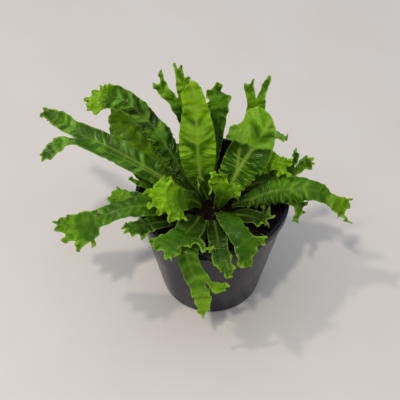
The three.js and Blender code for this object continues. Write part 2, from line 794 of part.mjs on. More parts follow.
    fan: { tips: [[-45, 10.5], [-26, 20], [-3, 17], [20, 16.5], [45, 11.5]], cut: 0.45, bend: 24 },
  },
  {
    name: 'frond_left_two_lobes',
    colour: leafMid,
    spine: [[-14, 4, 88], [-18, 5, 96], [-33, 6, 101], [-46, 6, 107], [-56, 5, 114]],
    half: [1.6, 2.6, 3.6, 3.8, 4],
    faces: [[0.6, 0, 0.8], [0.1, -0.1, 1], [0.2, -0.5, 0.8]],
    across: 4,
    lobes: [
      { take: 2, to: [-64, 3, 121], wide: 1.9 },
      {
        take: 2, to: [-59, 7, 121], wide: 1.9,
        lobes: [{ take: 1, to: [-62, 10, 127], wide: 1.1 }, { take: 1, to: [-56, 11, 126], wide: 1.1 }],
      },
    ],
  },
  {
    name: 'frond_front_left_fan',
    colour: leafYoung,
    spine: [[-7, -4, 88], [-9, -6, 98], [-14, -10, 109], [-19, -14, 115], [-24, -18, 118]],
    half: [1.6, 2.6, 4.5, 7, 9],
    faces: [[0.6, 0, 0.8], [0.2, -0.6, 0.7], [0, -0.7, 0.7]],
    fold: 1,
    across: 4,
    fan: {
      tips: [
        [-85, 15, 4], [-67, 19.5, 2], [-37, 19.5], [-13, 24], [3, 28.5], [21, 30], [40, 28], [63, 24.5],
      ],
      cut: 0.45, ruffle: 0.9, bend: 30,
    },
  },
  {
    name: 'frond_young_furled',
    colour: leafYoung,
    spine: [[-3, 0, 88], [-4, -1, 100], [-7, -2, 111], [-11, -2, 118]],
    half: [1.4, 3, 4.5, 5],
    faces: [[-0.4, -0.9, 0.2], [0.2, -0.8, 0.5], [0.8, -0.4, 0.5]],
    fold: 4,
    across: 4,
    lobes: [
      { take: 2, to: [-12, -4, 122], wide: 2.6, cup: 1.2 },
      { take: 2, to: [-12, 2, 122], wide: 2.6, cup: 1.2 },
    ],
  },
  {
    name: 'frond_back_low_middle',
    colour: leafMid,
    spine: [[-3, 14, 88], [-4, 18, 95], [-7, 34, 105], [-9, 54, 111], [-11, 72, 108]],
    half: [1.6, 3.5, 8, 9.5, 9],
    faces: [[0, -0.6, 0.8], [0, 0, 1], [0, 0.3, 0.95]],
    wave: { height: 1.6, every: 24 },
    across: 4,
    fan: { tips: [[-62, 15], [-36, 20], [-12, 23], [12, 22], [38, 20], [64, 15]], ruffle: 0.8, bend: 26 },
  },
  {
    name: 'frond_back_low_right',
    colour: leafMid,
    spine: [[7, 12, 88], [10, 16, 97], [21, 30, 107], [35, 46, 113], [45, 57, 111]],
    half: [1.6, 3, 7, 8.5, 8],
    faces: [[-0.4, -0.5, 0.8], [0, 0, 1], [0.2, 0.3, 0.95]],
    wave: { height: 1.4, every: 22 },
    across: 4,
    fan: { tips: [[-62, 15], [-38, 20], [-12, 24], [14, 21], [40, 20], [62, 15]], ruffle: 0.8, bend: 28 },
  },
  {
    name: 'frond_back_low_left',
    colour: leafMid,
    spine: [[-10, 11, 88], [-13, 15, 97], [-26, 30, 107], [-37, 46, 113], [-43, 57, 112]],
    half: [1.6, 3, 6.5, 8, 8],
    faces: [[0.4, -0.5, 0.8], [0, 0, 1], [-0.2, 0.3, 0.95]],
    wave: { height: 1.4, every: 22 },
    across: 4,
    fan: { tips: [[-64, 14], [-40, 21], [-14, 23], [12, 24], [38, 19], [64, 14]], ruffle: 0.8, bend: 28 },
  },
];

// Crown: a lumpy mound with a socket round every stalk

function makeCrown() {
  const profile = [
    [0, crownBottom],
    [crownRadius, crownBottom],
    [crownRadius, crownShoulder - crownBand],
  ];
  for (const [across, up] of crownDome) {
    profile.push([crownRadius * across, crownShoulder + (crownTop - crownShoulder) * up]);
  }
  const plain = turned(profile, crownSides);
  const lump = lumpyTop(plain, crownShoulder, crownBump, crownSeed, crownRadius - 1);
  let crown = toSolid(lump);
  for (const frond of fronds) {
    const socket = thicken(growBlade(frond, { room: seatGap, reach: socketReach, across: 2 }));
    crown = crown.subtract(toSolid(socket));
  }
  return toGeometry(crown);
}

// The whole plant in its pot

function addPiece(group, name, geometry, { colour, roughness, metalness = 0 }) {
  const material = new THREE.MeshStandardMaterial({ color: colour, roughness, metalness });
  const mesh = new THREE.Mesh(geometry, material);
  mesh.name = name;
  group.add(mesh);
}

const group = new THREE.Group();
addPiece(group, 'pot', makePot(), { colour: '#2f2d36', roughness: 0.28 });
addPiece(group, 'soil', makeSoil(), { colour: '#241a12', roughness: 0.95 });
addPiece(group, 'crown', makeCrown(), { colour: '#33220f', roughness: 0.9 });
for (const frond of fronds) {
  const geometry = thicken(growBlade(frond));
  addPiece(group, frond.name, geometry, { colour: frond.colour, roughness: 0.35 });
}

export default group;
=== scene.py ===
import math
from functools import partial

import bpy
import numpy as np
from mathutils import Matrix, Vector
from mathutils.kdtree import KDTree


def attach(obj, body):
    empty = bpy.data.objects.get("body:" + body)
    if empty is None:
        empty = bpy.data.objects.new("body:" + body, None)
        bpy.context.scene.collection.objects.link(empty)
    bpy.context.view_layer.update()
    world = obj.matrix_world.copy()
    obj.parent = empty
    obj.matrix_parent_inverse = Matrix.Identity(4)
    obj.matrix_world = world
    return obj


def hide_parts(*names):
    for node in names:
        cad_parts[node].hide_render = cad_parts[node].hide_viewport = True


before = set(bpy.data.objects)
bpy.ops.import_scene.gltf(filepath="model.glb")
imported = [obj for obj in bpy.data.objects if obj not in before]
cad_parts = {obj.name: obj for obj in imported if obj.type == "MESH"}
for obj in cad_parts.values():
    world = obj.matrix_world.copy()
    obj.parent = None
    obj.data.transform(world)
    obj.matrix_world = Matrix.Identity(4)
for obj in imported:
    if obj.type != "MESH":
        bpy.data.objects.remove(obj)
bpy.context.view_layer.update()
scene = bpy.context.scene
mm = 0.001  # the shapes are worked out in millimetres and stored in metres

# A crested bird's-nest fern in a small glossy plastic pot.
# Each frond is a strip of rows along its spine that forks into lobes or spreads into a fan, as in the solids.
# Here the strip is subdivided, its margin ruffled and toothed, and its midribs pressed in.

print("loaded the frame:", len(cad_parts), "nodes")


def linearColour(hexColour):
    # an sRGB hex colour as linear light
    channels = []
    for i in (1, 3, 5):
        c = int(hexColour[i:i + 2], 16) / 255
        channels.append(c / 12.92 if c <= 0.04045 else ((c + 0.055) / 1.055) ** 2.4)
    return (*channels, 1.0)


def addNode(tree, kind, settings=None, inputs=(), out=None):
    # one node with its settings, its inputs linked or set, by name or in order; gives the node or one output
    node = tree.nodes.new(kind)
    for name, value in (settings or {}).items():
        setattr(node, name, value)
    for name, value in (inputs.items() if isinstance(inputs, dict) else enumerate(inputs)):
        socket = node.inputs[name]
        if isinstance(value, bpy.types.NodeSocket):
            tree.links.new(value, socket)
        else:
            socket.default_value = value
    return node if out is None else node.outputs[out]


def newMaterial(name):
    # a material without nodes, and what adds nodes to it
    material = bpy.data.materials.new(name)
    material.use_nodes = True
    material.node_tree.nodes.clear()
    return material, partial(addNode, material.node_tree)


def perMetre(size):
    # the scale of a noise whose lumps are this many mm
    return 1 / (size * mm)


# settings that many nodes share
multiply, add, scaleAndAdd = {"operation": "MULTIPLY"}, {"operation": "ADD"}, {"operation": "MULTIPLY_ADD"}
vectorScale, colours = {"operation": "SCALE"}, {"data_type": "RGBA"}


def pointsOf(mesh):
    # a mesh's points in millimetres
    points = np.empty(len(mesh.vertices) * 3)
    mesh.vertices.foreach_get("co", points)
    return points.reshape(-1, 3) / mm


def movePoints(mesh, points):
    mesh.vertices.foreach_set("co", (points * mm).ravel())
    mesh.update()


def smoothFaces(mesh, smooth=True):
    mesh.polygons.foreach_set("use_smooth", [smooth] * len(mesh.polygons))


def makeMesh(name, points, faces, attributes=None, smooth=True):
    # points in millimetres become an object in metres, with its place in its mesh
    mesh = bpy.data.meshes.new(name)
    mesh.from_pydata((np.asarray(points) * mm).tolist(), [], [list(map(int, f)) for f in faces])
    for key, values in (attributes or {}).items():
        layer = mesh.attributes.new(key, "FLOAT", "POINT")
        layer.data.foreach_set("value", np.asarray(values, dtype=np.float32))
    smoothFaces(mesh, smooth)
    mesh.update()
    piece = bpy.data.objects.new(name, mesh)
    scene.collection.objects.link(piece)
    return piece


def applyModifiers(piece):
    # turns the evaluated piece into a plain mesh and drops its modifiers
    graph = bpy.context.evaluated_depsgraph_get()
    mesh = bpy.data.meshes.new_from_object(piece.evaluated_get(graph))
    old = piece.data
    piece.modifiers.clear()
    piece.data = mesh
    bpy.data.meshes.remove(old)
    return mesh


# Leaf materials: living fern blades, waxy on top, with light coming through them

leafColours = {
    # in the shade of the crown, blade, crest, and light that comes through
    "young": {"deep": "#163203", "blade": "#487804", "crest": "#9ed40c", "through": "#b0d806"},
    "mid": {"deep": "#0d2403", "blade": "#2d5c04", "crest": "#7bb20a", "through": "#7eb406"},
    "dark": {"deep": "#061502", "blade": "#1a4205", "crest": "#56900a", "through": "#4c8c06"},
    "olive": {"deep": "#142703", "blade": "#375906", "crest": "#65900e", "through": "#80a00c"},
}
leafFinish = {
    "roughness": {"young": 0.34, "mid": 0.31, "dark": 0.25, "olive": 0.4},
    "lime": "#a6dc1c",  # the youngest crests
    "bloom": "#a2d654", "paintedSheenShare": 0.6,  # painted sheen: pale highlights painted on the blade between the side veins
    "rib": "#a8cc4c", "ribShare": 0.8,  # the midrib is paler than the blade
    "edge": "#9cc830",  # and so is the thin margin
    "veinShare": 0.12, "underShare": 0.2,  # side veins and the underside take some of the midrib's colour
    "patches": 0.38, "patchSize": 22.22,  # brighter and darker patches, mm
    "bandDepth": 0.45, "bandPitch": 7.0,  # bands of painted light and shade between side veins, mm
    "mottle": 0.3, "grainSize": 2.381,  # fine mottling, mm
    "veinPitch": 1.7, "veinSlant": 0.8,  # side veins lean to the tip, mm
    "veinWobble": 3.0, "wobbleSize": 3.846, "veinRelief": 0.075,  # mm
    "waxAndPaintedSheen": 0.2, "waxRoughness": 0.22,  # a thin wax, which gives soft glints on the ruffles
    "sheen": "#cfe66e",  # the soft gloss under the wax is tinted by the blade
    "throughShare": 0.24,  # share of light that passes the blade
}


def leafMaterial(kind):
    # a waxy leaf: soft gloss, side veins that run out from the midrib, painted shade at its foot, bands of
    # painted light and shade and a painted sheen between the side veins, and bright when young
    look, finish = leafColours[kind], leafFinish
    material, node = newMaterial("waxyFernLeaf" + kind.capitalize())
    place = node("ShaderNodeTexCoord", out="Object")
    given = {}
    for name in "ridge rib edge along crest youth tone lime bands bloom under".split():
        given[name] = node("ShaderNodeAttribute", {"attribute_name": name}, out="Fac")
    slant = node("ShaderNodeMath", scaleAndAdd, (given["rib"], -finish["veinSlant"], given["along"]), 0)
    wobble = node("ShaderNodeTexNoise", {}, {"Vector": place, "Scale": perMetre(finish["wobbleSize"])}, 0)
    wobble = node("ShaderNodeMath", multiply, (wobble, finish["veinWobble"]), 0)
    phase = node("ShaderNodeMath", scaleAndAdd, (slant, 2 * math.pi / finish["veinPitch"], wobble), 0)
    vein = node("ShaderNodeMath", {"operation": "SINE"}, (phase,), 0)
    vein = node("ShaderNodeMapRange", {}, (vein, -1.0, 1.0, 0.0, 1.0), 0)
    vein = node("ShaderNodeMath", {"operation": "POWER"}, (vein, 3.0), 0)  # narrower than their gaps
    fine = node("ShaderNodeTexNoise", {}, {
        "Vector": place, "Scale": perMetre(finish["grainSize"]), "Detail": 3.0,
    }, 0)
    # how bright each spot is: its own tone and youth with the painted shade at its foot, patches, and bands
    # of painted light and shade along the side veins
    patch = node("ShaderNodeTexNoise", {}, {"Vector": place, "Scale": perMetre(finish["patchSize"])}, 0)
    patch = node("ShaderNodeMapRange", {}, (patch, 0.3, 0.7, -finish["patches"], finish["patches"]), 0)
    bandAt = node("ShaderNodeMath", multiply, (slant, 1 / finish["bandPitch"]), 0)
    outAt = node("ShaderNodeMath", multiply, (given["rib"], 0.05), 0)  # a band changes slowly on its way out
    ownAt = node("ShaderNodeMath", multiply, (given["tone"], 90.0), 0)  # and each frond has its own
    bandAt = node("ShaderNodeCombineXYZ", {}, (bandAt, outAt, ownAt), 0)
    band = node("ShaderNodeTexNoise", {}, {"Vector": bandAt, "Scale": 1.0, "Detail": 1.0}, 0)
    band = node("ShaderNodeMapRange", {}, (band, 0.32, 0.68, -finish["bandDepth"], finish["bandDepth"]), 0)
    band = node("ShaderNodeMath", multiply, (band, given["bands"]), 0)
    bright = node("ShaderNodeMath", add, (given["youth"], given["tone"]), 0)
    for part in (patch, band):
        bright = node("ShaderNodeMath", add, (bright, part), 0)
    youth = node("ShaderNodeMapRange", {}, (bright, 0.0, 1.0, 0.0, 1.0), 0)
    shade = node("ShaderNodeMapRange", {}, (bright, -0.9, 0.0, 1.0, 0.0), 0)
    # where the painted sheen, mottling, side veins, midrib, margin and the paler underside show
    # painted sheen: pale highlights painted where the bands are bright
    bloom = node("ShaderNodeMapRange", {}, (band, 0.02, 0.35, 0.0, finish["paintedSheenShare"]), 0)
    bloom = node("ShaderNodeMath", multiply, (bloom, given["bloom"]), 0)
    mottle = node("ShaderNodeMapRange", {}, (fine, 0.35, 0.65, 0.0, finish["mottle"]), 0)
    onVein = node("ShaderNodeMath", multiply, (vein, finish["veinShare"]), 0)
    onRib = node("ShaderNodeMath", multiply, (given["ridge"], finish["ribShare"]), 0)
    edgeWide = node("ShaderNodeMapRange", {}, (given["crest"], 0.2, 1.0, 0.8, 1.9), 0)  # mm
    edgePale = node("ShaderNodeMapRange", {}, (given["crest"], 0.0, 0.8, 0.25, 0.65), 0)
    onEdge = node("ShaderNodeMapRange", {}, (given["edge"], 0.15, edgeWide, edgePale, 0.0), 0)
    onUnder = node("ShaderNodeMath", multiply, (given["under"], finish["underShare"]), 0)
    deep, blade, crest = (linearColour(look[key]) for key in ("deep", "blade", "crest"))
    lime, waxAndPaintedSheen, rib, edge = (linearColour(finish[key]) for key in ("lime", "bloom", "rib", "edge"))
    colour = blade
    for share, over in ((youth, crest), (shade, deep), (given["lime"], lime), (bloom, waxAndPaintedSheen), (mottle, blade),
                        (onVein, rib), (onRib, rib), (onEdge, edge), (onUnder, rib)):
        colour = node("ShaderNodeMix", colours, {0: share, 6: colour, 7: over}, 2)
    dull = finish["roughness"][kind]
    roughness = node("ShaderNodeMapRange", {}, (fine, 0.3, 0.7, dull - 0.05, dull + 0.12), 0)
    relief = node("ShaderNodeMath", scaleAndAdd, (vein, 1.4, fine), 0)
    bump = node("ShaderNodeBump", {}, {
        "Strength": 0.55, "Distance": finish["veinRelief"] * mm, "Height": relief,
    }, 0)
    surface = node("ShaderNodeBsdfPrincipled", {}, {
        "Base Color": colour, "Roughness": roughness, "Normal": bump, "IOR": 1.42, "Specular IOR Level": 0.16,
        "Specular Tint": linearColour(finish["sheen"]),
        "Coat Weight": finish["waxAndPaintedSheen"], "Coat Roughness": finish["waxRoughness"],
    }, 0)
    glow = node("ShaderNodeMix", colours, {0: youth, 6: crest, 7: linearColour(look["through"])}, 2)
    glow = node("ShaderNodeMix", colours, {0: shade, 6: glow, 7: blade}, 2)
    through = node("ShaderNodeBsdfTranslucent", {}, {"Color": glow, "Normal": bump}, 0)
    both = node("ShaderNodeMixShader", {}, (finish["throughShare"], surface, through), 0)
    node("ShaderNodeOutputMaterial", {}, {"Surface": both})
    return material


leafMaterials = {kind: leafMaterial(kind) for kind in leafColours}
print("mixed the leaf materials")


# Fronds: the same strips as the solids, in millimetres

strip = {
    # mm, and shares of a length where a note says so
    "mainStep": 5.6, "lobeStep": 4.6, "fanStep": 7,  # rows of the coarse strip on a blade, a lobe and a fan
    "flatBase": 12, "fullWave": 38,  # along: a frond is flat up to the first, and fully waved from the second
    "tipHalf": 0.6, "lobeNeck": 0.9, "lobeBlunt": 0.4, "capStart": 0.5,  # a lobe's end: mm, then shares
    "fanTip": 3.2, "fanCut": 0.45, "tipShare": 0.28, "deepest": 0.7,  # a fan's tips and notches, likewise
    "bladeHalf": 0.34, "edgeHalf": 0.2, "edgeTaper": 1.2,  # half the thickness, and how far in it grows
    "ribHalf": 0.75,  # the midrib stands out below by up to this
    "ribWide": 0.5, "ribWider": 0.7,  # half the width of the thinnest midrib, and what the strongest adds
    "plainFoot": 14, "fullRuffle": 45,  # along: no ruffles up to the first, and full ones from the second
    "shadeStart": 8, "shadeEnd": 54,  # along: painted shade darkens its foot up to the first, and is gone from the second
    "swellEvery": 31, "unevenEvery": 29,  # ruffles and ripples are stronger and weaker by turns
    "subdivisions": 3,
    "seed": 100,  # of the first frond, and each next one's is one more
}
frondLook = {
    # what every frond starts from: sizes in mm, and from tone on shares of colour
    "ruffle": 1.2, "ruffleEvery": 9.0, "crestRuffle": 2.5, "crestEvery": 11.0,
    "frill": 2.2, "frillEvery": 7.0, "frillDeep": 4.5,
    "lobing": 0.8, "lobingEvery": 13.0,  # the crest's margin runs in and out
    "teeth": 0.1, "crestTeeth": 0.55, "teethEvery": 5.2,
    "ripple": 0.35, "rippleEvery": 8.5, "groove": 0.35,
    # foot sets the painted shade at a frond's foot, and bands the painted light and shade along its side
    # veins
    "tone": 0.0, "foot": 1.0, "lime": 0.0, "youth": 0.8, "bands": 1.0, "bloom": 0.5,
    "ribTone": 0.5, "ribFade": 0.75, "ribWide": 1.0, "ribsFrom": 0.0,  # midribs below this level are left out
}
frondBase = {
    # what a frond has unless it says otherwise. Its spine is the line it grows along, half is half its width
    # and faces are where its upper side looks, both evenly spaced along the spine.
    "across": 4,  # faces across the blade
    "fold": 0, "teeth": 0,  # mm: how far both margins are lifted, and each tooth
    "wave": (0, 20), "skew": 0.6 * math.pi,  # mm: height and length of the margins' waves, and their shift
    "lobes": (), "fan": None,  # how it ends
    "branches": (),  # side branches of the midrib: start and end along it, how far out (left is below 0)
    "curls": (),  # curled margins: start and end in mm along, height in mm, side (1 right, -1 left)
    "look": {},  # where it differs from frondLook
}


def frond(name, leaf, **given):
    return {**frondBase, "node": "frond_" + name, "leaf": leaf, **given}


def fan(tips, **given):
    # a crest spread like a hand: tips of (angle, reach, lift), with notches between them
    return {"cut": strip["fanCut"], "wide": strip["fanTip"], "ruffle": 0, "bend": 0, "tips": tips, **given}


def lobe(take, to, wide, **given):
    # a lobe that takes this many faces of the row it grows from, and runs to a place with a half width
    base = {"lobes": (), "fan": None, "bow": 0, "cup": 0, "blunt": strip["lobeBlunt"], "face": None}
    return {**base, "take": take, "to": to, "wide": wide, **given}


fronds = [
    frond(
        "left_long", "mid", fold=1.2, wave=(0.9, 26),
        spine=[(-11, 2, 88), (-14, 3, 97), (-29, 3, 112), (-52, 7, 129), (-78, 16, 140), (-101, 26, 144)],
        half=[1.6, 4, 8.5, 9.5, 9.5, 9], faces=[(0.8, -0.3, 0.5), (0.3, -0.4, 0.85), (0, -0.5, 0.87)],
        lobes=[
            lobe(1, (-113, 21, 141), 4.5, fan=fan([(-42, 17), (-31, 23.5), (-12, 22), (1, 14), (38, 9.5)])),
            lobe(3, (-119, 45, 142), 7, fan=fan([(-28, 14.5), (-18, 28.5), (-1, 30)], cut=0.7)),
        ],
        branches=[(0.12, 0.8, -0.45)],
        look=dict(
            ruffle=0.7, crestRuffle=1.2, ripple=0.4, frill=0.9, lobing=0.4, crestTeeth=0.25, tone=-0.05,
            youth=0.1, bloom=0.9, ribTone=0.9,
        ),
    ),
    frond(
        "left_arching", "dark", fold=1, wave=(3, 24),
        spine=[
            (-7, 5, 88), (-10, 7, 98), (-20, 10, 113), (-31, 14, 134), (-41, 21, 150), (-52, 29, 160),
            (-64, 36, 168), (-75, 40, 170),
        ],
        half=[1.6, 3.5, 7, 8.5, 8.5, 8, 8, 9], faces=[(0.9, -0.4, 0.2), (0.6, -0.7, 0.4), (0.2, -0.7, 0.7)],
        fan=fan([(-68, 19.5), (-47, 23), (-27, 22.5), (-4, 16.5), (32, 10)], cut=0.38, ruffle=0.6, bend=50),
        curls=[(30, 90, 1.6, -1)],
        look=dict(
            ruffle=1.8, ripple=2.3, rippleEvery=10, frill=3, lobing=0.5, tone=0.05, lime=0.7, bands=1.15,
            bloom=0.8,
        ),
    ),
    frond(
        "left_behind", "olive", fold=-1, wave=(1.4, 30),
        spine=[(-9, 7, 88), (-13, 10, 98), (-27, 18, 109), (-46, 28, 119), (-65, 38, 133)],
        half=[1.6, 3.5, 9, 12, 11], faces=[(0.7, -0.4, 0.6), (0.2, -0.5, 0.85), (0.1, -0.5, 0.85)],
        fan=fan([(-34, 16.5), (-4, 20), (15, 26), (34, 22.5), (47, 14.5), (83, 13)], cut=0.25, wide=4),
        look=dict(ripple=0.2, frill=0.8, lobing=0.3, tone=0.25, bands=1.3, ribTone=0.2),
    ),
    frond(
        "upright_middle", "young", fold=1.6, wave=(1.1, 15), skew=0,
        spine=[(-3, 6, 88), (-6, 7, 99), (-9, 8, 112), (-11, 11, 132), (-12, 14, 158), (-13, 18, 181)],
        half=[1.8, 5, 12, 13.8, 12.5, 9], faces=[(0.2, -1, 0.1), (0.05, -1, 0.3), (0, -0.9, 0.5)],
        fan=fan([(-39, 16), (-17, 19.5), (-4, 21.5), (8, 21), (20, 15)], cut=0.25),
        look=dict(
            ripple=0.7, rippleEvery=10.5, frill=0.5, lobing=0, crestTeeth=0.15, tone=0.55, lime=0.3, foot=1.4,
            bands=1.7, bloom=1, ribTone=1.3, ribWide=1.1, ribFade=0.3,
        ),
    ),
    frond(
        "back_left_antler", "mid", fold=1, teeth=1.2, wave=(1, 20),
        spine=[(-5, 9, 88), (-7, 13, 99), (-10, 24, 120), (-15, 31, 145), (-20, 33, 162), (-25, 34, 172)],
        half=[1.6, 3, 6, 7.5, 8, 8], faces=[(0.3, -1, 0.3), (0.2, -1, 0.2), (-0.1, -0.9, 0.4)],
        lobes=[
            lobe(2, (-36, 36, 178), 4.8, fan=fan([(-6, 11.5), (44, 18.5)], cut=0.9, wide=3.6)),
            lobe(2, (-22, 38, 184), 5.2, fan=fan(
                [(-34, 18), (-13, 13.5), (41, 6.5), (68, 9)], cut=0.8, wide=3.6, bend=40)),
        ],
        look=dict(youth=0.5, frill=1.8, lobing=0.3, bands=1.3),
    ),
    frond(
        "back_right_rolled", "mid", fold=1.6,
        spine=[(-1, 9, 88), (-1, 13, 99), (1, 24, 112), (4, 35, 128), (4, 42, 142), (4, 46, 150)],
        half=[1.6, 2, 2.6, 3.4, 5, 8], faces=[(0, -1, 0.3), (0.1, -1, 0.3), (0.2, -0.9, 0.5)],
        fan=fan([(-63, 11.5), (-25, 20), (5, 22.5), (42, 15.5)], cut=0.3, ruffle=1, bend=30),
        look=dict(tone=-0.1, youth=0.5, frill=3, lobing=0.9),
    ),
    frond(
        "back_right_fingers", "mid", fold=1, wave=(1, 24),
        spine=[(3, 8, 88), (5, 12, 99), (16, 25, 113), (27, 37, 131), (33, 43, 148), (33, 46, 160)],
        half=[1.6, 3.5, 8, 8.5, 7.5, 7], faces=[(0.2, -1, 0.4), (0.1, -1, 0.4), (0, -0.9, 0.4)],
        lobes=[
            lobe(2, (27, 49, 170), 3.8, fan=fan([(-26, 6), (50, 9)], cut=0.7, wide=2.6)),
            lobe(2, (43, 53, 178), 2.8),
        ],
        look=dict(tone=0.4, youth=0.6, frill=1.2, lobing=0.3, bands=1.3),
    ),
    frond(
        "right_waved", "mid", across=6, fold=1, wave=(3.2, 27),
        spine=[(6, 2, 88), (9, 1, 98), (15, 4, 115), (22, 8, 130), (29, 12, 142)],
        half=[1.8, 5, 11.5, 15, 16], faces=[(-0.5, -0.8, 0.4), (-0.2, -0.8, 0.6), (0, -0.8, 0.6)],
        fan=fan(
            [(-97, 22.5, 1), (-65, 26.5, 2), (-53, 21), (-37, 31, -1), (-18, 36), (1, 31.5, 1), (22, 24, 1)],
            cut=0.1, wide=6, bend=34),
        branches=[(0.62, 1, -0.62)],
        curls=[(10, 42, 2.4, -1), (14, 60, 2.4, 1)],
        look=dict(
            ruffle=1.8, ruffleEvery=17, crestRuffle=1, ripple=1.1, rippleEvery=12, frill=0.5, lobing=0,
            teeth=0.05, crestTeeth=0.1, tone=0.25, foot=0.4, youth=0.3, bands=1.5, bloom=1, ribTone=1.4,
            ribWide=1.4, ribFade=0.45, ribsFrom=0.7,
        ),
    ),
    frond(
        "middle_frilly", "young", fold=-1,
        spine=[(2, -4, 88), (4, -8, 98), (6, -9, 107), (8, -8, 113)],
        half=[1.5, 3, 4.5, 6], faces=[(0, -1, 0.1), (0, -0.9, 0.4), (0, -0.8, 0.6)],
        fan=fan(
            [(-85, 13.5, 1), (-54, 21, 1), (-35, 22), (-18, 16.5, 1), (21, 17, 1), (54, 17), (75, 11.5, 2)],
            cut=0.42, ruffle=1, bend=30),
        look=dict(
            frill=4.2, frillEvery=5.8, crestRuffle=3.4, crestTeeth=0.9, lobing=2.2, tone=-0.2, lime=0.3,
        ),
    ),
    frond(
        "right_lit", "young", fold=-1, wave=(2, 22),
        spine=[(9, 4, 88), (12, 6, 97), (23, 12, 109), (34, 14, 122), (44, 12, 130)],
        half=[1.6, 2.6, 6, 8, 8], faces=[(-0.5, -0.3, 0.8), (-0.2, -0.7, 0.7), (0, -0.7, 0.7)],
        fan=fan([(5, 11), (22, 15), (41, 16.5), (66, 18.5), (87, 14.5)], cut=0.42, ruffle=0.8, bend=26),
        look=dict(frill=3.8, frillEvery=6, crestRuffle=3, crestTeeth=0.9, lobing=2.2, tone=0.15, lime=0.4),
    ),
    frond(
        "right_small_upright", "mid", fold=1,
        spine=[(13, 6, 88), (17, 8, 97), (33, 12, 103), (49, 15, 107), (62, 16, 116)],
        half=[1.6, 3, 5.5, 6, 6], faces=[(-0.6, -0.1, 0.8), (-0.3, -0.3, 0.9), (-0.5, -0.6, 0.6)],
        lobes=[
            lobe(2, (63, 18, 136), 3, bow=1, blunt=0.55),
            lobe(2, (70, 15, 122), 4, fan=fan(
                [(-25, 9), (10, 10.5), (41, 10.5), (85, 7.5)], cut=0.55, wide=3)),
        ],
        look=dict(tone=-0.1, youth=0.6, lobing=0.3),
    ),
    frond(
        "right_long", "mid", fold=-1, teeth=1.8, wave=(1.2, 20),
        spine=[
            (12, -3, 88), (16, -4, 97), (30, -6, 106), (48, -5, 114), (66, -5, 117), (82, -6, 114),
            (91, -8, 107),
        ],
        half=[1.6, 4, 8, 10, 9.5, 7, 5], faces=[(-0.5, -0.1, 0.8), (-0.1, -0.2, 1), (0.3, -0.5, 0.8)],
        fan=fan([(-34, 21), (-17, 21.5), (15, 27), (24, 16)], cut=0.7, wide=3),
        curls=[(18, 74, 4.2, 1)],
        look=dict(ripple=0.3, lobing=0.4, tone=0.12, bands=0.8, bloom=0.9, ribTone=0.35),
    ),
    frond(
        "right_low", "dark", fold=1, wave=(0.8, 18),
        spine=[(11, -8, 88), (14, -13, 95), (21, -17, 100), (28, -20, 102), (33, -23, 103)],
        half=[1.6, 3, 6, 7.5, 7.5], faces=[(-0.5, 0.2, 0.8), (0, 0, 1), (0.1, 0.1, 1)],
        fan=fan([(-100, 13.5), (-72, 16.5), (-35, 15), (15, 14), (43, 9)], cut=0.5, ruffle=0.8),
        # its low tone paints the shade it lies in, below right_long's crest
        look=dict(frill=3, crestRuffle=3, lobing=0.8, tone=-0.8, youth=0.6),
    ),
    frond(
        "right_drooping", "olive", fold=-0.6,
        spine=[(15, 1, 88), (19, 1, 95), (34, -1, 99), (50, -5, 107), (61, -9, 109), (67, -12, 104)],
        half=[1.6, 2.8, 4, 4.5, 5, 5], faces=[(-0.5, 0, 0.8), (-0.1, -0.2, 0.95), (0.5, -0.3, 0.8)],
        fan=fan([(-57, 9.5), (5, 8), (65, 15), (87, 15.5)], cut=0.6),
    ),
    frond(
        "front_arching", "mid", fold=-1.5, wave=(0.7, 30),
        spine=[(5, -10, 88), (6, -14, 99), (9, -25, 112), (12, -36, 118), (17, -46, 118), (22, -53, 113)],
        half=[1.8, 5, 7.5, 8, 7.5, 8], faces=[(0, 0.9, 0.4), (0.1, 0, 1), (0.1, -0.8, 0.6)],
        fan=fan(
            [(-73, 20), (-52, 15.5), (-13, 13), (12, 23), (25, 19), (40, 19)],
            cut=0.55, wide=3.4, ruffle=0.6, bend=40),
        curls=[(20, 45, 1.2, 1)],
        look=dict(ruffle=0.5, ripple=0.12, tone=-0.2, foot=0.8, youth=0.7, bands=0.25, ribTone=0.15),
    ),
    frond(
        "front_under", "dark", wave=(1.2, 20),
        spine=[(1, -14, 88), (1, -19, 96), (2, -33, 104), (3, -47, 111), (4, -58, 111.5)],
        half=[1.6, 3, 6.5, 7, 7], faces=[(0, 0.9, 0.4), (0, 0, 1), (0, -0.7, 0.7)],
        fan=fan([(-30, 18.5), (-18, 23.5), (-5, 22.5), (7, 17.5), (25, 12)], cut=0.5, ruffle=0.8, bend=26),
        look=dict(ripple=0.2, tone=-0.3, youth=0.9, bands=0.45),
    ),
    frond(
        "front_hanging", "young", fold=-1, wave=(0.8, 26),
        spine=[
            (-5, -12, 88), (-5, -18, 94.5), (-8, -33, 100.5), (-15, -49, 109.5), (-19, -60, 110.5),
            (-16, -67, 99), (-11, -69, 86),
        ],
        half=[1.7, 2.8, 5, 7, 7.5, 7.5, 9],
        faces=[(0, 0.9, 0.4), (0, 0, 1), (-0.1, -0.7, 0.7), (0.1, -1, 0.1)],
        lobes=[
            lobe(1, (3, -70, 79), 4.2, face=(0, -0.8, 0.6), fan=fan(
                [(-81, 9), (-43, 10.5), (-11, 8.5)], cut=0.5)),
            lobe(3, (-8, -71, 68), 7, fan=fan(
                [(-10, 16.5), (14, 25), (27, 17), (67, 8)], cut=0.35, wide=3.6)),
        ],
        look=dict(
            ruffle=0.7, crestRuffle=1.4, ripple=0.12, frill=1.3, tone=-0.3, lime=0.25, bands=0.6, ribTone=0.6,
            ribWide=1.3,
        ),
    ),
    frond(
        "front_left_rim", "dark", wave=(1.6, 22),
        spine=[(-9, -9, 88), (-10, -15, 96), (-12, -28, 106), (-16, -40, 114), (-20, -49, 117)],
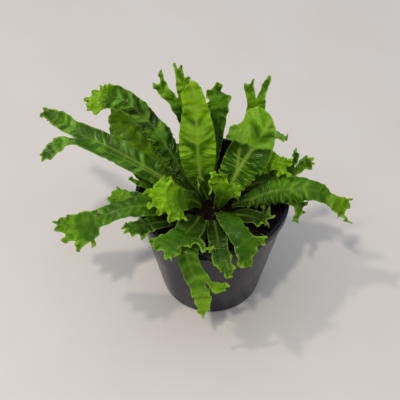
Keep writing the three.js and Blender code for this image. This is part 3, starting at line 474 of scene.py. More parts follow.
        half=[1.6, 3, 6.5, 9.5, 11], faces=[(0.4, 0.6, 0.6), (0, 0, 1), (-0.2, -0.4, 0.9)],
        fan=fan(
            [(-70, 26.5), (-65, 19.5), (-38, 12.5), (-5, 27), (10, 27.5), (32, 27), (50, 29.5)],
            cut=0.5, ruffle=0.8, bend=60),
        curls=[(14, 40, 1.6, 1)],
        look=dict(ripple=0.2, tone=-0.25, youth=0.7, bands=0.45),
    ),
    frond(
        "left_low_long", "mid", fold=-0.8, teeth=0.8, wave=(0.8, 30),
        spine=[
            (-13, -5, 88), (-17, -7, 97), (-32, -14, 108), (-53, -21, 116), (-72, -26, 116), (-86, -29, 111),
        ],
        half=[1.6, 4, 8, 8, 6.5, 7], faces=[(0.6, 0, 0.8), (0.1, -0.2, 0.95), (-0.2, -0.4, 0.9)],
        fan=fan(
            [(-64, 24), (-36, 31.5), (-10, 35), (9, 40), (21, 40.5), (27, 27.5)],
            cut=0.8, wide=4, bend=110),
        curls=[(18, 50, 1.2, 1)],
        look=dict(ripple=0.15, frill=1.2, lobing=0.5, crestTeeth=0.3, tone=-0.05, youth=0.4, bands=0.7),
    ),
    frond(
        "left_dark_low", "dark", wave=(1, 20),
        spine=[(-13, -11, 87), (-16, -13, 95), (-28, -21, 99), (-41, -30, 107), (-49, -35, 111)],
        half=[1.6, 2.4, 4, 5.5, 6.5], faces=[(0.6, 0.2, 0.8), (0.1, -0.1, 1), (-0.2, -0.3, 0.9)],
        fan=fan([(-54, 13), (-28, 17), (-10, 21), (10, 21.5)], cut=0.45),
        look=dict(tone=-0.3, youth=0.5, frill=2.8, bands=0.6),
    ),
    frond(
        "left_strap", "mid", fold=-0.8,
        spine=[(-14, -1, 88), (-18, -2, 96), (-34, -6, 103), (-50, -9, 110), (-64, -9, 112)],
        half=[1.6, 3, 5, 5, 5], faces=[(0.6, 0, 0.8), (0.1, -0.1, 1), (-0.1, -0.3, 0.9)],
        fan=fan([(-45, 10.5), (-26, 20), (-3, 17), (20, 16.5), (45, 11.5)], cut=0.45, bend=24),
    ),
    frond(
        "left_two_lobes", "mid",
        spine=[(-14, 4, 88), (-18, 5, 96), (-33, 6, 101), (-46, 6, 107), (-56, 5, 114)],
        half=[1.6, 2.6, 3.6, 3.8, 4], faces=[(0.6, 0, 0.8), (0.1, -0.1, 1), (0.2, -0.5, 0.8)],
        lobes=[
            lobe(2, (-64, 3, 121), 1.9),
            lobe(2, (-59, 7, 121), 1.9, lobes=[lobe(1, (-62, 10, 127), 1.1), lobe(1, (-56, 11, 126), 1.1)]),
        ],
        look=dict(tone=0.25, lobing=0.3),
    ),
    frond(
        "front_left_fan", "young", fold=1,
        spine=[(-7, -4, 88), (-9, -6, 98), (-14, -10, 109), (-19, -14, 115), (-24, -18, 118)],
        half=[1.6, 2.6, 4.5, 7, 9], faces=[(0.6, 0, 0.8), (0.2, -0.6, 0.7), (0, -0.7, 0.7)],
        fan=fan(
            [(-85, 15, 4), (-67, 19.5, 2), (-37, 19.5), (-13, 24), (3, 28.5), (21, 30), (40, 28), (63, 24.5)],
            cut=0.45, ruffle=0.9, bend=30),
        look=dict(
            frill=4.2, frillEvery=6.2, crestRuffle=3.3, crestTeeth=0.9, lobing=2.4, tone=-0.35, lime=0.2,
        ),
    ),
    frond(
        "young_furled", "young", fold=4,
        spine=[(-3, 0, 88), (-4, -1, 100), (-7, -2, 111), (-11, -2, 118)],
        half=[1.4, 3, 4.5, 5], faces=[(-0.4, -0.9, 0.2), (0.2, -0.8, 0.5), (0.8, -0.4, 0.5)],
        lobes=[
            lobe(2, (-12, -4, 122), 2.6, cup=1.2),
            lobe(2, (-12, 2, 122), 2.6, cup=1.2),
        ],
        # its low tone paints the shade of the hollow in the middle of the crown
        look=dict(tone=-0.9, youth=0.6, lobing=0.3),
    ),
    frond(
        "back_low_middle", "mid", wave=(1.6, 24),
        spine=[(-3, 14, 88), (-4, 18, 95), (-7, 34, 105), (-9, 54, 111), (-11, 72, 108)],
        half=[1.6, 3.5, 8, 9.5, 9], faces=[(0, -0.6, 0.8), (0, 0, 1), (0, 0.3, 0.95)],
        fan=fan([(-62, 15), (-36, 20), (-12, 23), (12, 22), (38, 20), (64, 15)], ruffle=0.8, bend=26),
    ),
    frond(
        "back_low_right", "mid", wave=(1.4, 22),
        spine=[(7, 12, 88), (10, 16, 97), (21, 30, 107), (35, 46, 113), (45, 57, 111)],
        half=[1.6, 3, 7, 8.5, 8], faces=[(-0.4, -0.5, 0.8), (0, 0, 1), (0.2, 0.3, 0.95)],
        fan=fan([(-62, 15), (-38, 20), (-12, 24), (14, 21), (40, 20), (62, 15)], ruffle=0.8, bend=28),
    ),
    frond(
        "back_low_left", "mid", wave=(1.4, 22),
        spine=[(-10, 11, 88), (-13, 15, 97), (-26, 30, 107), (-37, 46, 113), (-43, 57, 112)],
        half=[1.6, 3, 6.5, 8, 8], faces=[(0.4, -0.5, 0.8), (0, 0, 1), (-0.2, 0.3, 0.95)],
        fan=fan([(-64, 14), (-40, 21), (-14, 23), (12, 24), (38, 19), (64, 14)], ruffle=0.8, bend=28),
    ),
]


def unit(v):
    return v / np.linalg.norm(v)


def smoothstep(value, low, high):
    x = np.clip((value - low) / (high - low), 0, 1)
    return x * x * (3 - 2 * x)


def smoothAlong(values, t):
    # reads evenly spaced numbers as one smooth curve
    last = len(values) - 1
    spot = min(max(t, 0), 1) * last
    i = min(int(spot), last - 1)
    f = spot - i
    a, b, c, d = (values[min(max(k, 0), last)] for k in (i - 1, i, i + 1, i + 2))
    bend = (2 * a - 5 * b + 4 * c - d) * f * f + (3 * b - a - 3 * c + d) * f ** 3
    return 0.5 * (2 * b + (c - a) * f + bend)


def roundEnd(t, blunt):
    # how much of its width a lobe keeps as it rounds off
    past = max(t - strip["capStart"], 0) / (1 - strip["capStart"])
    return math.sqrt(1 - past * past * (1 - blunt * blunt))


class Path:
    # a dense line of points that is read by its length
    def __init__(self, points):
        self.points = np.array(points)
        steps = np.linalg.norm(np.diff(self.points, axis=0), axis=1)
        self.marks = np.concatenate([[0], np.cumsum(steps)])
        self.length = self.marks[-1]

    def at(self, t):
        mark = t * self.length
        return np.array([np.interp(mark, self.marks, self.points[:, k]) for k in range(3)])

    def tangent(self, t):
        near = 0.5 / len(self.points)
        return unit(self.at(min(t + near, 1)) - self.at(max(t - near, 0)))


def spinePath(points, steps=60):
    # a centripetal curve through the points
    p = [np.array(q, float) for q in points]
    p = [2 * p[0] - p[1]] + p + [2 * p[-1] - p[-2]]
    line = []
    for i in range(1, len(p) - 2):
        g0, g1, g2 = (np.linalg.norm(p[i + k] - p[i + k - 1]) ** 0.5 for k in (0, 1, 2))
        start = (p[i] - p[i - 1]) / g0 - (p[i + 1] - p[i - 1]) / (g0 + g1) + (p[i + 1] - p[i]) / g1
        end = (p[i + 1] - p[i]) / g1 - (p[i + 2] - p[i]) / (g1 + g2) + (p[i + 2] - p[i + 1]) / g2
        start, end = start * g1, end * g1
        for f in np.arange(steps) / steps:
            cubic = (2 * p[i] - 2 * p[i + 1] + start + end) * f ** 3
            square = (3 * p[i + 1] - 3 * p[i] - 2 * start - end) * f ** 2
            line.append(cubic + square + start * f + p[i])
    line.append(p[-2])
    return Path(line)


def lobePath(start, middle, end, steps=40):
    # a quadratic curve
    f = (np.arange(steps + 1) / steps)[:, None]
    return Path((1 - f) ** 2 * start + 2 * f * (1 - f) * middle + f * f * end)


def faceAlong(faces, t, tangent):
    # where the upper side looks at t, square to the way the frond runs
    last = len(faces) - 1
    spot = min(max(t, 0), 1) * last
    i = min(int(spot), max(last - 1, 0))
    a, b = np.array(faces[i], float), np.array(faces[min(i + 1, last)], float)
    face = a + (b - a) * (spot - i)
    return unit(face - tangent * face.dot(tangent))


def fanMargin(part, half):
    # corners of a fan's margin as (across, ahead, lift): two to a tip and one to a notch
    spots, lifts = [], []
    for angle, reach, *more in part["tips"]:
        turn = math.radians(angle)
        spots.append(np.array([math.sin(turn), math.cos(turn)]) * reach)
        lifts.append(more[0] if more else 0)
    line = [np.array([-half, 0.0]), *spots, np.array([half, 0.0])]
    margin = []
    for i, spot in enumerate(spots):
        before, after = line[i], line[i + 2]
        if i > 0:
            notch = (spot + before) / 2
            inward = np.array([(2 * i / len(spots) - 1) * half, 0.0]) - notch
            far = np.linalg.norm(inward)
            depth = min(np.linalg.norm(spot - before) * part["cut"], far * strip["deepest"])
            margin.append((*(notch + inward / far * depth), (lifts[i] + lifts[i - 1]) / 2 - part["ruffle"]))
        for beside, way in ((before, -1), (after, 1)):
            share = min(part["wide"] / 2 / np.linalg.norm(beside - spot), strip["tipShare"])
            margin.append((*(spot + (beside - spot) * share), lifts[i] + way * part["ruffle"]))
    return margin


class Cage:
    # the coarse strip of one frond, with its midribs
    def __init__(self, shape):
        self.shape = shape
        self.points, self.faces = [], []
        self.along, self.crest = [], []
        self.ribs = []  # (points, level), the level 1 for the frond's own midrib and less for its branches
        self.grow()

    def add(self, point, along, crest):
        self.points.append(point)
        self.along.append(along)
        self.crest.append(crest)
        return len(self.points) - 1

    def join(self, low, high):
        # faces between two rows, the second with as many points or with twice the faces
        twice = len(high) > len(low)
        for i in range(len(low) - 1):
            a, b = low[i], low[i + 1]
            if twice:
                c, m, d = high[2 * i:2 * i + 3]
                self.faces += [(a, b, m), (a, m, c), (b, d, m)]
            else:
                self.faces.append((a, b, high[i + 1], high[i]))

    def grow(self):
        shape = self.shape
        spine = spinePath(shape["spine"])
        self.length = length = spine.length
        rows = round(length / strip["mainStep"])
        high, every = shape["wave"]
        row = []
        for k in range(rows + 1):
            t, last = k / rows, k == rows
            center, tangent = spine.at(t), spine.tangent(t)
            face = faceAlong(shape["faces"], t, tangent)
            side = np.cross(tangent, face)
            steps = sum(part["take"] for part in shape["lobes"]) if last else 0
            steps = steps or shape["across"]
            # teeth stand on every other row of the outer half
            tooth = shape["teeth"] if k % 2 == 1 and t > 0.55 and not last else 0
            half = smoothAlong(shape["half"], t) + tooth
            grown = smoothstep(t * length, strip["flatBase"], strip["fullWave"])
            before, row = row, []
            for j in range(steps + 1):
                u = 2 * j / steps - 1
                phase = math.pi * 2 * t * length / every + (shape["skew"] if u > 0 else 0)
                lift = shape["fold"] * u * u + high * abs(u) ** 1.5 * math.sin(phase)
                point = center + side * u * half + face * lift * grown
                row.append(self.add(point, t * length, 0.5 * smoothstep(t, 0.72, 1.0)))
            if k > 0:
                self.join(before, row)
        self.ribs.append(([spine.at(t) for t in np.linspace(0, 1, 80)], 1.0))
        for start, end, out in shape["branches"]:
            line = []
            for t in np.linspace(start, end, 50):
                way = spine.tangent(t)
                aside = np.cross(way, faceAlong(shape["faces"], t, way)) * smoothAlong(shape["half"], t)
                line.append(spine.at(t) + aside * out * (t - start) / (end - start))
            self.ribs.append((line, 0.8))
        self.growEnd(row, tangent, face, shape, length, 0.5, 0.75)

    def growEnd(self, row, tangent, face, part, start, crest, level):
        # the lobes or the fan that a row of points grows into
        first = 0
        for child in part["lobes"]:
            share = row[first:first + child["take"] + 1]
            self.growLobe(share, tangent, face, child, start, crest, level)
            first += child["take"]
        if part["fan"]:
            self.growFan(row, tangent, face, part["fan"], start, crest, level)

    def growLobe(self, firstRow, tangent, firstFace, part, startAlong, crest, level):
        left, right = self.points[firstRow[0]], self.points[firstRow[-1]]
        start = (left + right) / 2
        startHalf = np.linalg.norm(left - right) / 2
        target = np.array(part["to"], float)
        reach = np.linalg.norm(target - start)
        middle = start + tangent * reach * 0.4 + firstFace * part["bow"]
        path = lobePath(start, middle, target)
        more = part["lobes"] or part["fan"]
        wide = part["wide"]
        halves = [startHalf, min(startHalf, wide) * strip["lobeNeck"], wide, wide]
        rows = max(2, round(path.length / strip["lobeStep"]))
        face = firstFace.copy()
        carry = []
        row, way = firstRow, tangent
        for k in range(rows + 1):
            t = k / rows
            center, way = path.at(t), path.tangent(t)
            if part["face"]:
                face = firstFace + (np.array(part["face"]) - firstFace) * t
            face = unit(face - way * face.dot(way))
            side = np.cross(way, face)
            cap = 1 if more else roundEnd(t, part["blunt"])
            half = max(smoothAlong(halves, t) * cap, strip["tipHalf"])
            steps = sum(child["take"] for child in part["lobes"]) if k == rows else 0
            steps = steps or part["take"]
            nextRow = []
            for j in range(steps + 1):
                u = 2 * j / steps - 1
                point = center + side * u * half
                if k == 0:
                    carry.append(self.points[firstRow[j]] - point)
                    continue
                point = point + face * part["cup"] * u * u * t
                point = point + carry[int(j * part["take"] / steps)] * (1 - t) ** 2
                youth = crest + (1 - crest) * 0.6 * t
                nextRow.append(self.add(point, startAlong + t * path.length, youth))
            if k > 0:
                self.join(row, nextRow)
                row = nextRow
        end = 1.0 if more else 0.94  # a midrib ends just short of a round tip
        self.ribs.append(([path.at(t) for t in np.linspace(0, end, 30)], level))
        self.growEnd(row, way, face, part, startAlong + path.length, crest + (1 - crest) * 0.6, level * 0.75)

    def joinUneven(self, low, high):
        # triangles between two rows of any number of points
        i = j = 0
        while i + 1 < len(low) or j + 1 < len(high):
            nextLow, nextHigh = (i + 1) / (len(low) - 1), (j + 1) / (len(high) - 1)
            if j + 1 < len(high) and nextHigh <= nextLow:
                self.faces.append((low[i], high[j + 1], high[j]))
                j += 1
            else:
                self.faces.append((low[i], low[i + 1], high[j]))
                i += 1

    def growFan(self, firstRow, tangent, face, part, startAlong, crest, level):
        left, right = self.points[firstRow[0]], self.points[firstRow[-1]]
        origin = (left + right) / 2
        half = np.linalg.norm(left - right) / 2
        side = np.cross(tangent, face)
        margin = fanMargin(part, half)
        steps = len(margin) - 1
        rows = max(2, round(max(tip[1] for tip in part["tips"]) / strip["fanStep"]))
        bend = part["bend"]

        def place(across, ahead, lift):
            turn = ahead / bend if bend and ahead > 0 else 0
            forward = bend * math.sin(turn) if turn else ahead
            drop = bend * (1 - math.cos(turn)) if turn else 0
            return origin + side * across + tangent * forward + face * (lift - drop)

        row = firstRow
        for k in range(1, rows + 1):
            t = k / rows
            nextRow = []
            for j, (marginAcross, marginAhead, lift) in enumerate(margin):
                start = (2 * j / steps - 1) * half
                point = place(start + (marginAcross - start) * t, marginAhead * t, lift * t * t)
                spot = j / steps * (len(firstRow) - 1)
                i = min(int(spot), len(firstRow) - 2)
                a, b = self.points[firstRow[i]], self.points[firstRow[i + 1]]
                point = point + (a + (b - a) * (spot - i) - origin - side * start) * (1 - t) ** 2
                reach = math.hypot(marginAcross, marginAhead)
                nextRow.append(self.add(point, startAlong + t * reach, crest + (1 - crest) * t))
            if k == 1:
                self.joinUneven(row, nextRow)
            else:
                self.join(row, nextRow)
            row = nextRow
        for angle, reach, *lift in part["tips"]:
            turn, rise = math.radians(angle), lift[0] if lift else 0
            across, ahead = math.sin(turn) * reach, math.cos(turn) * reach
            line = [place(across * t, ahead * t, rise * t * t) for t in np.linspace(0, 0.88, 24)]
            middle = abs(angle) == min(abs(tip[0]) for tip in part["tips"])
            self.ribs.append((line, level * (1.3 if middle else 0.8)))


def subdivided(cage, name):
    # the cage as a smooth fine sheet
    piece = makeMesh(name, cage.points, cage.faces, {"along": cage.along, "crest": cage.crest})
    smooth = piece.modifiers.new("smooth", "SUBSURF")
    smooth.levels = smooth.render_levels = strip["subdivisions"]
    smooth.boundary_smooth = "ALL"
    mesh = applyModifiers(piece)
    points, corners = pointsOf(mesh), np.empty(len(mesh.loops), int)
    mesh.loops.foreach_get("vertex_index", corners)
    values = []
    for key in ("along", "crest"):
        values.append(np.empty(len(points)))
        mesh.attributes[key].data.foreach_get("value", values[-1])
    bpy.data.objects.remove(piece)
    bpy.data.meshes.remove(mesh)
    return points, corners.reshape(-1, 4), *values


def pointNormals(points, quads):
    a, b, c, d = (points[quads[:, k]] for k in range(4))
    flat = np.cross(c - a, d - b)
    normals = np.zeros_like(points)
    for k in range(4):
        np.add.at(normals, quads[:, k], flat)
    return normals / np.linalg.norm(normals, axis=1)[:, None]


def marginLoops(quads):
    # the open edges as one directed loop after another
    edges = {}
    for quad in quads:
        for k in range(4):
            a, b = int(quad[k]), int(quad[(k + 1) % 4])
            if edges.pop((b, a), None) is None:
                edges[a, b] = True
    following = {a: b for a, b in edges}
    loops = []
    while following:
        first = next(iter(following))
        loop, here = [], first
        while here in following:
            loop.append(here)
            here = following.pop(here)
        loops.append(loop)
    return loops


def nearest(tree, points):
    # which of the tree's points is nearest to each, and how far it is
    found = [tree.find(p) for p in points]
    return np.array([f[1] for f in found]), np.array([f[2] for f in found])


def treeOf(points):
    tree = KDTree(len(points))
    for i, p in enumerate(points):
        tree.insert(p, i)
    tree.balance()
    return tree


def ruffled(marks, every, start):
    # a wave of this length in mm that hurries and lags
    lag = 1.4 * np.sin(2 * math.pi * marks / (every * 3.7) + start)
    return np.sin(2 * math.pi * marks / every + lag + start)


def marginMarks(points, loops):
    # the margin's points, how far along it each lies, and which way it runs there
    margin, marks, ways = [], [], []
    for loop in loops:
        line = points[loop]
        lengths = np.linalg.norm(np.roll(line, -1, axis=0) - line, axis=1)
        tangents = np.roll(line, -2, axis=0) - np.roll(line, 2, axis=0)
        margin.append(line)
        marks.append(np.concatenate([[0], np.cumsum(lengths)[:-1]]))
        ways.append(tangents / np.linalg.norm(tangents, axis=1)[:, None])
    return np.concatenate(margin), np.concatenate(marks), np.concatenate(ways)


def dot(a, b):
    return np.einsum("ij,ij->i", a, b)


def makeFrond(shape, seed):
    draw = np.random.default_rng(seed)
    look = {**frondLook, **shape["look"]}
    cage = Cage(shape)
    points, quads, along, crest = subdivided(cage, shape["node"] + "_cage")
    normals = pointNormals(points, quads)
    # where each point lies from the margin
    loops = marginLoops(quads)
    margin, marks, ways = marginMarks(points, loops)
    spot, edge = nearest(treeOf(margin), points)
    outward = np.cross(ways[spot], normals)
    outward /= np.linalg.norm(outward, axis=1)[:, None] + 1e-9
    mark = marks[spot] + dot(points - margin[spot], ways[spot])
    # and from the nearest midrib
    ribs = [(line, level) for line, level in cage.ribs if level >= look["ribsFrom"]]
    ribPoints = np.concatenate([line for line, level in ribs])
    ribLevels = np.concatenate([[level] * len(line) for line, level in ribs])
    ribWays = np.concatenate([np.gradient(np.array(line), axis=0) for line, level in ribs])
    spot, rib = nearest(treeOf(ribPoints), points)
    level = ribLevels[spot]
    side = np.sign(dot(np.cross(ribWays[spot], normals), points - ribPoints[spot]))
    across = rib / (rib + edge + 1e-6)
    # ruffles grow towards the margin and the crest
    grown = smoothstep(along, strip["plainFoot"], strip["fullRuffle"])
    starts = draw.uniform(0, 2 * math.pi, 6)
    swell = 0.65 + 0.35 * np.sin(2 * math.pi * mark / strip["swellEvery"] + starts[2])
    height = look["ruffle"] * (1 - crest) * ruffled(mark, look["ruffleEvery"], starts[0])
    height = height + look["crestRuffle"] * crest * ruffled(mark, look["crestEvery"], starts[1])
    lift = height * swell * across ** 2
    # ripples run out along the side veins
    uneven = 0.6 + 0.4 * np.sin(2 * math.pi * along / strip["unevenEvery"] + starts[5] + side)
    ripple = ruffled(along - leafFinish["veinSlant"] * rib, look["rippleEvery"], starts[3] + 0.9 * side)
    ripple = ripple * look["ripple"] * uneven * np.minimum(rib / 2, 1)
    lift += ripple * 4 * across * (1 - across) * (1 - 0.8 * crest)
    # frills stand right at the margin
    frillWave = ruffled(mark, look["frillEvery"], starts[1] + 1)
    atMargin = np.exp(-edge / look["frillDeep"])
    lift += look["frill"] * crest * swell * frillWave * atMargin
    for start, end, high, way in shape["curls"]:
        curled = smoothstep(along, start, start + 8) * (1 - smoothstep(along, end - 8, end)) * (side == way)
        lift += high * curled * frillWave * atMargin * np.minimum(rib / 3, 1)
        frilled = 0.4 * high * curled * (ruffled(mark, look["teethEvery"], starts[4]) - 0.2)
        points = points + outward * (frilled * np.exp(-edge / 2.5))[:, None]
    # lobes and teeth push the margin out and in
    fine = np.sin(math.pi * mark / look["teethEvery"] + starts[4] + 0.8 * np.sin(mark / 5.3 + starts[5]))
    deep = 0.65 + 0.35 * np.sin(mark / 4.1 + 2 * np.sin(mark / 13 + starts[2]))
    scallop = (np.abs(fine) ** 0.8 - 0.62) * deep
    tooth = look["teeth"] * (1 - crest) + look["crestTeeth"] * crest
    inAndOut = look["lobing"] * crest * (ruffled(mark, look["lobingEvery"], starts[4]) - 0.3) * grown
    points = points + outward * (inAndOut * np.exp(-edge / 5))[:, None]
    points = points + normals * (lift * grown)[:, None]
    points = points + outward * (tooth * scallop * grown * np.exp(-edge / 1.6))[:, None]
    normals = pointNormals(points, quads)
    # the blade's two faces: a pressed line along the midrib above, the rib itself below
    strength = level * (1 - smoothstep(along, 0, cage.length * 1.25) * look["ribFade"])
    ribWide = (strip["ribWide"] + strip["ribWider"] * strength) * look["ribWide"]
    ridge = np.exp(-(rib / ribWide) ** 2) * strength
    thin, thick = strip["edgeHalf"], strip["bladeHalf"]
    half = thin + (thick - thin) * smoothstep(edge, 0, strip["edgeTaper"])
    top = points + normals * (half - look["groove"] * ridge * grown)[:, None]
    bottom = points - normals * (half + strip["ribHalf"] * ridge)[:, None]
    count = len(points)
    walls = [(b, a, a + count, b + count) for loop in loops for a, b in zip(loop, loop[1:] + loop[:1])]
    faces = np.concatenate([quads, quads[:, ::-1] + count, np.array(walls)])
    # painted shade: each frond is darkened at its foot, near the crown, through its tone
    foot = 1 - smoothstep(along, strip["shadeStart"], strip["shadeEnd"])
    tone = look["tone"] + draw.uniform(-0.05, 0.05) - look["foot"] * foot
    given = {
        "ridge": ridge * (level > 0.7) * look["ribTone"], "rib": rib, "edge": edge, "along": along,
        "crest": crest, "youth": crest * look["youth"], "tone": tone,
        "bands": np.full(count, look["bands"]), "lime": look["lime"] * smoothstep(crest, 0.45, 0.9),
        # painted sheen, strongest between the midrib and the margin
        "bloom": look["bloom"] * grown * np.clip(3 * across * (1 - across), 0, 1),
    }
    given = {name: np.tile(values, 2) for name, values in given.items()}
    given["under"] = np.repeat([0.0, 1.0], count)
    piece = makeMesh(shape["node"] + "_leaf", np.concatenate([top, bottom]), faces, given)
    piece.data.set_sharp_from_angle(angle=math.radians(60))
    piece.data.materials.append(leafMaterials[shape["leaf"]])
    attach(piece, "root")
    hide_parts(shape["node"])
    return len(faces) * 2


triangles = sum(makeFrond(each, strip["seed"] + i) for i, each in enumerate(fronds))
print("grew", len(fronds), "fronds,", triangles, "triangles")


# Pot: injection-moulded polypropylene, glossy, which shows soft reflections and faint turned lines

pot = {
    # mm
    "height": 107, "rim": 60, "base": 42.5, "baseEdge": 4, "footRound": 2.4, "wall": 1.8, "sides": 144,
    "lipHeight": 8, "lipStep": 1.6, "lipRound": 1.2, "lipUnder": 0.7, "lipInside": 0.6,
    "cornerWide": 2, "cornerHigh": 3,  # slope between the floor and the wall, inside
    "drainHoles": 6, "drainRadius": 4, "drainCircle": 27, "drillDepth": 12,
    # the lip's near-black colour is painted shade and a dark reflection
    "wallColour": "#1a1a24", "shadedLipColour": "#030310", "dust": "#8d8a88", "dustSize": 26.32, "lineSize": 11.11,
    "roughness": 0.3, "coat": 0.34, "coatRoughness": 0.05,
}


def wallRadius(height):
    # outside of the tapered wall
    slope = (pot["rim"] - pot["lipStep"] - pot["base"]) / (pot["height"] - pot["lipHeight"])
    return pot["base"] + slope * height


def arc(centre, radius, start, end, steps=6):
    # points of a rounding in a profile, between two angles in degrees
    angles = np.radians(np.linspace(start, end, steps))
    return [(centre[0] + radius * math.cos(a), centre[1] + radius * math.sin(a)) for a in angles]


def turnedMesh(name, profile, sides):
    # a closed profile of (radius, height) points from axis to axis
    points, faces = [(0, 0, profile[0][1])], []
    for r, z in profile[1:-1]:
        for k in range(sides):
            angle = 2 * math.pi * k / sides
            points.append((r * math.cos(angle), r * math.sin(angle), z))
    points.append((0, 0, profile[-1][1]))
    rings = len(profile) - 2
    for k in range(sides):
        after = (k + 1) % sides
        faces.append((0, 1 + after, 1 + k))
        for i in range(rings - 1):
            low, high = 1 + i * sides, 1 + (i + 1) * sides
            faces.append((low + k, low + after, high + after, high + k))
        top = 1 + (rings - 1) * sides
        faces.append((top + k, top + after, len(points) - 1))
    return makeMesh(name, points, faces)


def potMaterial():
    # glossy moulded plastic: dark grey wall, the lip band painted near-black as painted shade and a dark
    # reflection, dust and scuffs that dull it in places
    material, node = newMaterial("glossyMouldedPlastic")
    place = node("ShaderNodeTexCoord", out="Object")
    height = node("ShaderNodeSeparateXYZ", {}, (place,), 2)
    lipStart = (pot["height"] - pot["lipHeight"]) * mm
    # painted shade: the lip band is darker than the wall
    onShadedLip = node("ShaderNodeMapRange", {}, (height, lipStart - 1.2 * mm, lipStart + 0.6 * mm, 0.0, 1.0), 0)
    wall, paintedLipShade, grey = (linearColour(pot[key]) for key in ("wallColour", "shadedLipColour", "dust"))
    colour = node("ShaderNodeMix", colours, {0: onShadedLip, 6: wall, 7: paintedLipShade}, 2)
    dust = node("ShaderNodeTexNoise", {}, {
        "Vector": place, "Scale": perMetre(pot["dustSize"]), "Detail": 5.0, "Roughness": 0.62,
    }, 0)
    dusty = node("ShaderNodeMapRange", {}, (dust, 0.5, 0.8, 0.0, 0.03), 0)
    colour = node("ShaderNodeMix", colours, {0: dusty, 6: colour, 7: grey}, 2)
    turned = node("ShaderNodeMapping", {}, {"Vector": place, "Scale": (1.0, 1.0, 14.0)}, 0)
    lines = node("ShaderNodeTexNoise", {}, {
        "Vector": turned, "Scale": perMetre(pot["lineSize"]), "Detail": 3.0,
    }, 0)
    dull = pot["roughness"]
    roughness = node("ShaderNodeMapRange", {}, (dust, 0.35, 0.75, dull - 0.05, dull + 0.16), 0)
    bump = node("ShaderNodeBump", {}, {"Strength": 0.25, "Distance": 0.2 * mm, "Height": lines}, 0)
    surface = node("ShaderNodeBsdfPrincipled", {}, {
        "Base Color": colour, "Roughness": roughness, "Normal": bump, "IOR": 1.49, "Specular IOR Level": 0.05,
        "Coat Weight": pot["coat"], "Coat Roughness": pot["coatRoughness"],
    }, 0)
    node("ShaderNodeOutputMaterial", {}, {"Surface": surface})
    return material


def makePot():
    under, top, foot = pot["height"] - pot["lipHeight"], pot["height"], pot["footRound"]
    rim, r, small, inside = pot["rim"], pot["lipRound"], pot["lipUnder"], pot["lipInside"]
    wall, corner = pot["wall"], pot["wall"] + pot["cornerHigh"]
    # up the outside, over the lip, and down the inside
    profile = [(0, 0), (pot["base"] - pot["baseEdge"], 0)]
    profile += arc((wallRadius(foot) - foot, foot), foot, -90, 0, 8)
    profile += [(wallRadius(z), z) for z in np.linspace(8, under - 2, 12)]
    profile += [(wallRadius(under), under - 0.3), (wallRadius(under) + 0.3, under)]
    profile += arc((rim - small, under + small), small, -90, 0)
    profile += arc((rim - r, top - r), r, 0, 90)
    profile += arc((rim - pot["lipStep"] - wall + inside, top - inside), inside, 90, 180)
    profile += [(wallRadius(under) - wall, under - 2), (wallRadius(corner) - wall, corner)]
    profile += [(wallRadius(0) - wall - pot["cornerWide"], wall), (0, wall)]
    piece = turnedMesh("pot_shell", profile, pot["sides"])
    for i in range(pot["drainHoles"]):
        angle = 2 * math.pi * (i + 0.5) / pot["drainHoles"]
        out = pot["drainCircle"] * mm
        bpy.ops.mesh.primitive_cylinder_add(
            vertices=32, radius=pot["drainRadius"] * mm, depth=pot["drillDepth"] * mm,
            location=(math.cos(angle) * out, math.sin(angle) * out, 0))
        drill = bpy.context.object
        hole = piece.modifiers.new("drain", "BOOLEAN")
        hole.object, hole.operation = drill, "DIFFERENCE"
        applyModifiers(piece)
        bpy.data.objects.remove(drill)
    piece.data.materials.clear()
    piece.data.materials.append(potMaterial())
    smoothFaces(piece.data)
    piece.data.set_sharp_from_angle(angle=math.radians(35))
    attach(piece, "root")
    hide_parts("pot")


makePot()
print("turned the pot")


# Soil and crown

soil = {
    "floor": 2.1, "level": 91, "rise": 2.0, "clear": 2.2, "corner": 1.5,  # mm
    "rings": 40, "sides": 120, "seed": 7,
}
crown = {"radius": 20, "bottom": 80, "shoulder": 93, "top": 98.5, "sides": 72, "seed": 21}  # mm
lumps = {
    # what they are made of, how many there are, their size in mm, flatness and lean, and a seed
    "soil_crumbs": ("pottingMix", 5200, 1.5, 0.8, 0.6, 1),
    "soil_bark": ("barkChips", 420, 3.2, 0.25, 0.3, 2),
    "soil_grit": ("paleGrit", 60, 1.3, 0.9, 0.6, 3),
    "crown_bits": ("oldStalkEnds", 26, 3.4, 0.3, 0.4, 4),
    "crown_scales": ("paperyScales", 520, 5.0, 0.16, 0.9, 9),
}
earthFinishes = {
    # dark colour, colour of the fibres, size of the grain in mm, roughness
    "pottingMix": ("#140d08", "#2a1d13", 1.111, 0.95),  # damp peat: nearly black, crumbly
    "barkChips": ("#2a1d13", "#4a3522", 0.7692, 0.95),  # flat brown flakes
    "paleGrit": ("#8f8878", "#b5ac9a", 0.6667, 0.95),  # a few pale grains that catch the eye
    "rootstock": ("#0a0603", "#24160b", 1.4286, 0.95),  # painted shade: nearly black, the darkest place, in the middle of the fronds
    "oldStalkEnds": ("#24160b", "#8c6a4c", 0.7692, 0.95),  # woody ends of old fronds, tan
    "paperyScales": ("#0a0603", "#24160b", 0.625, 0.8),  # thin brown scales with a faint sheen, darkened to near-black as painted shade among the fronds
}


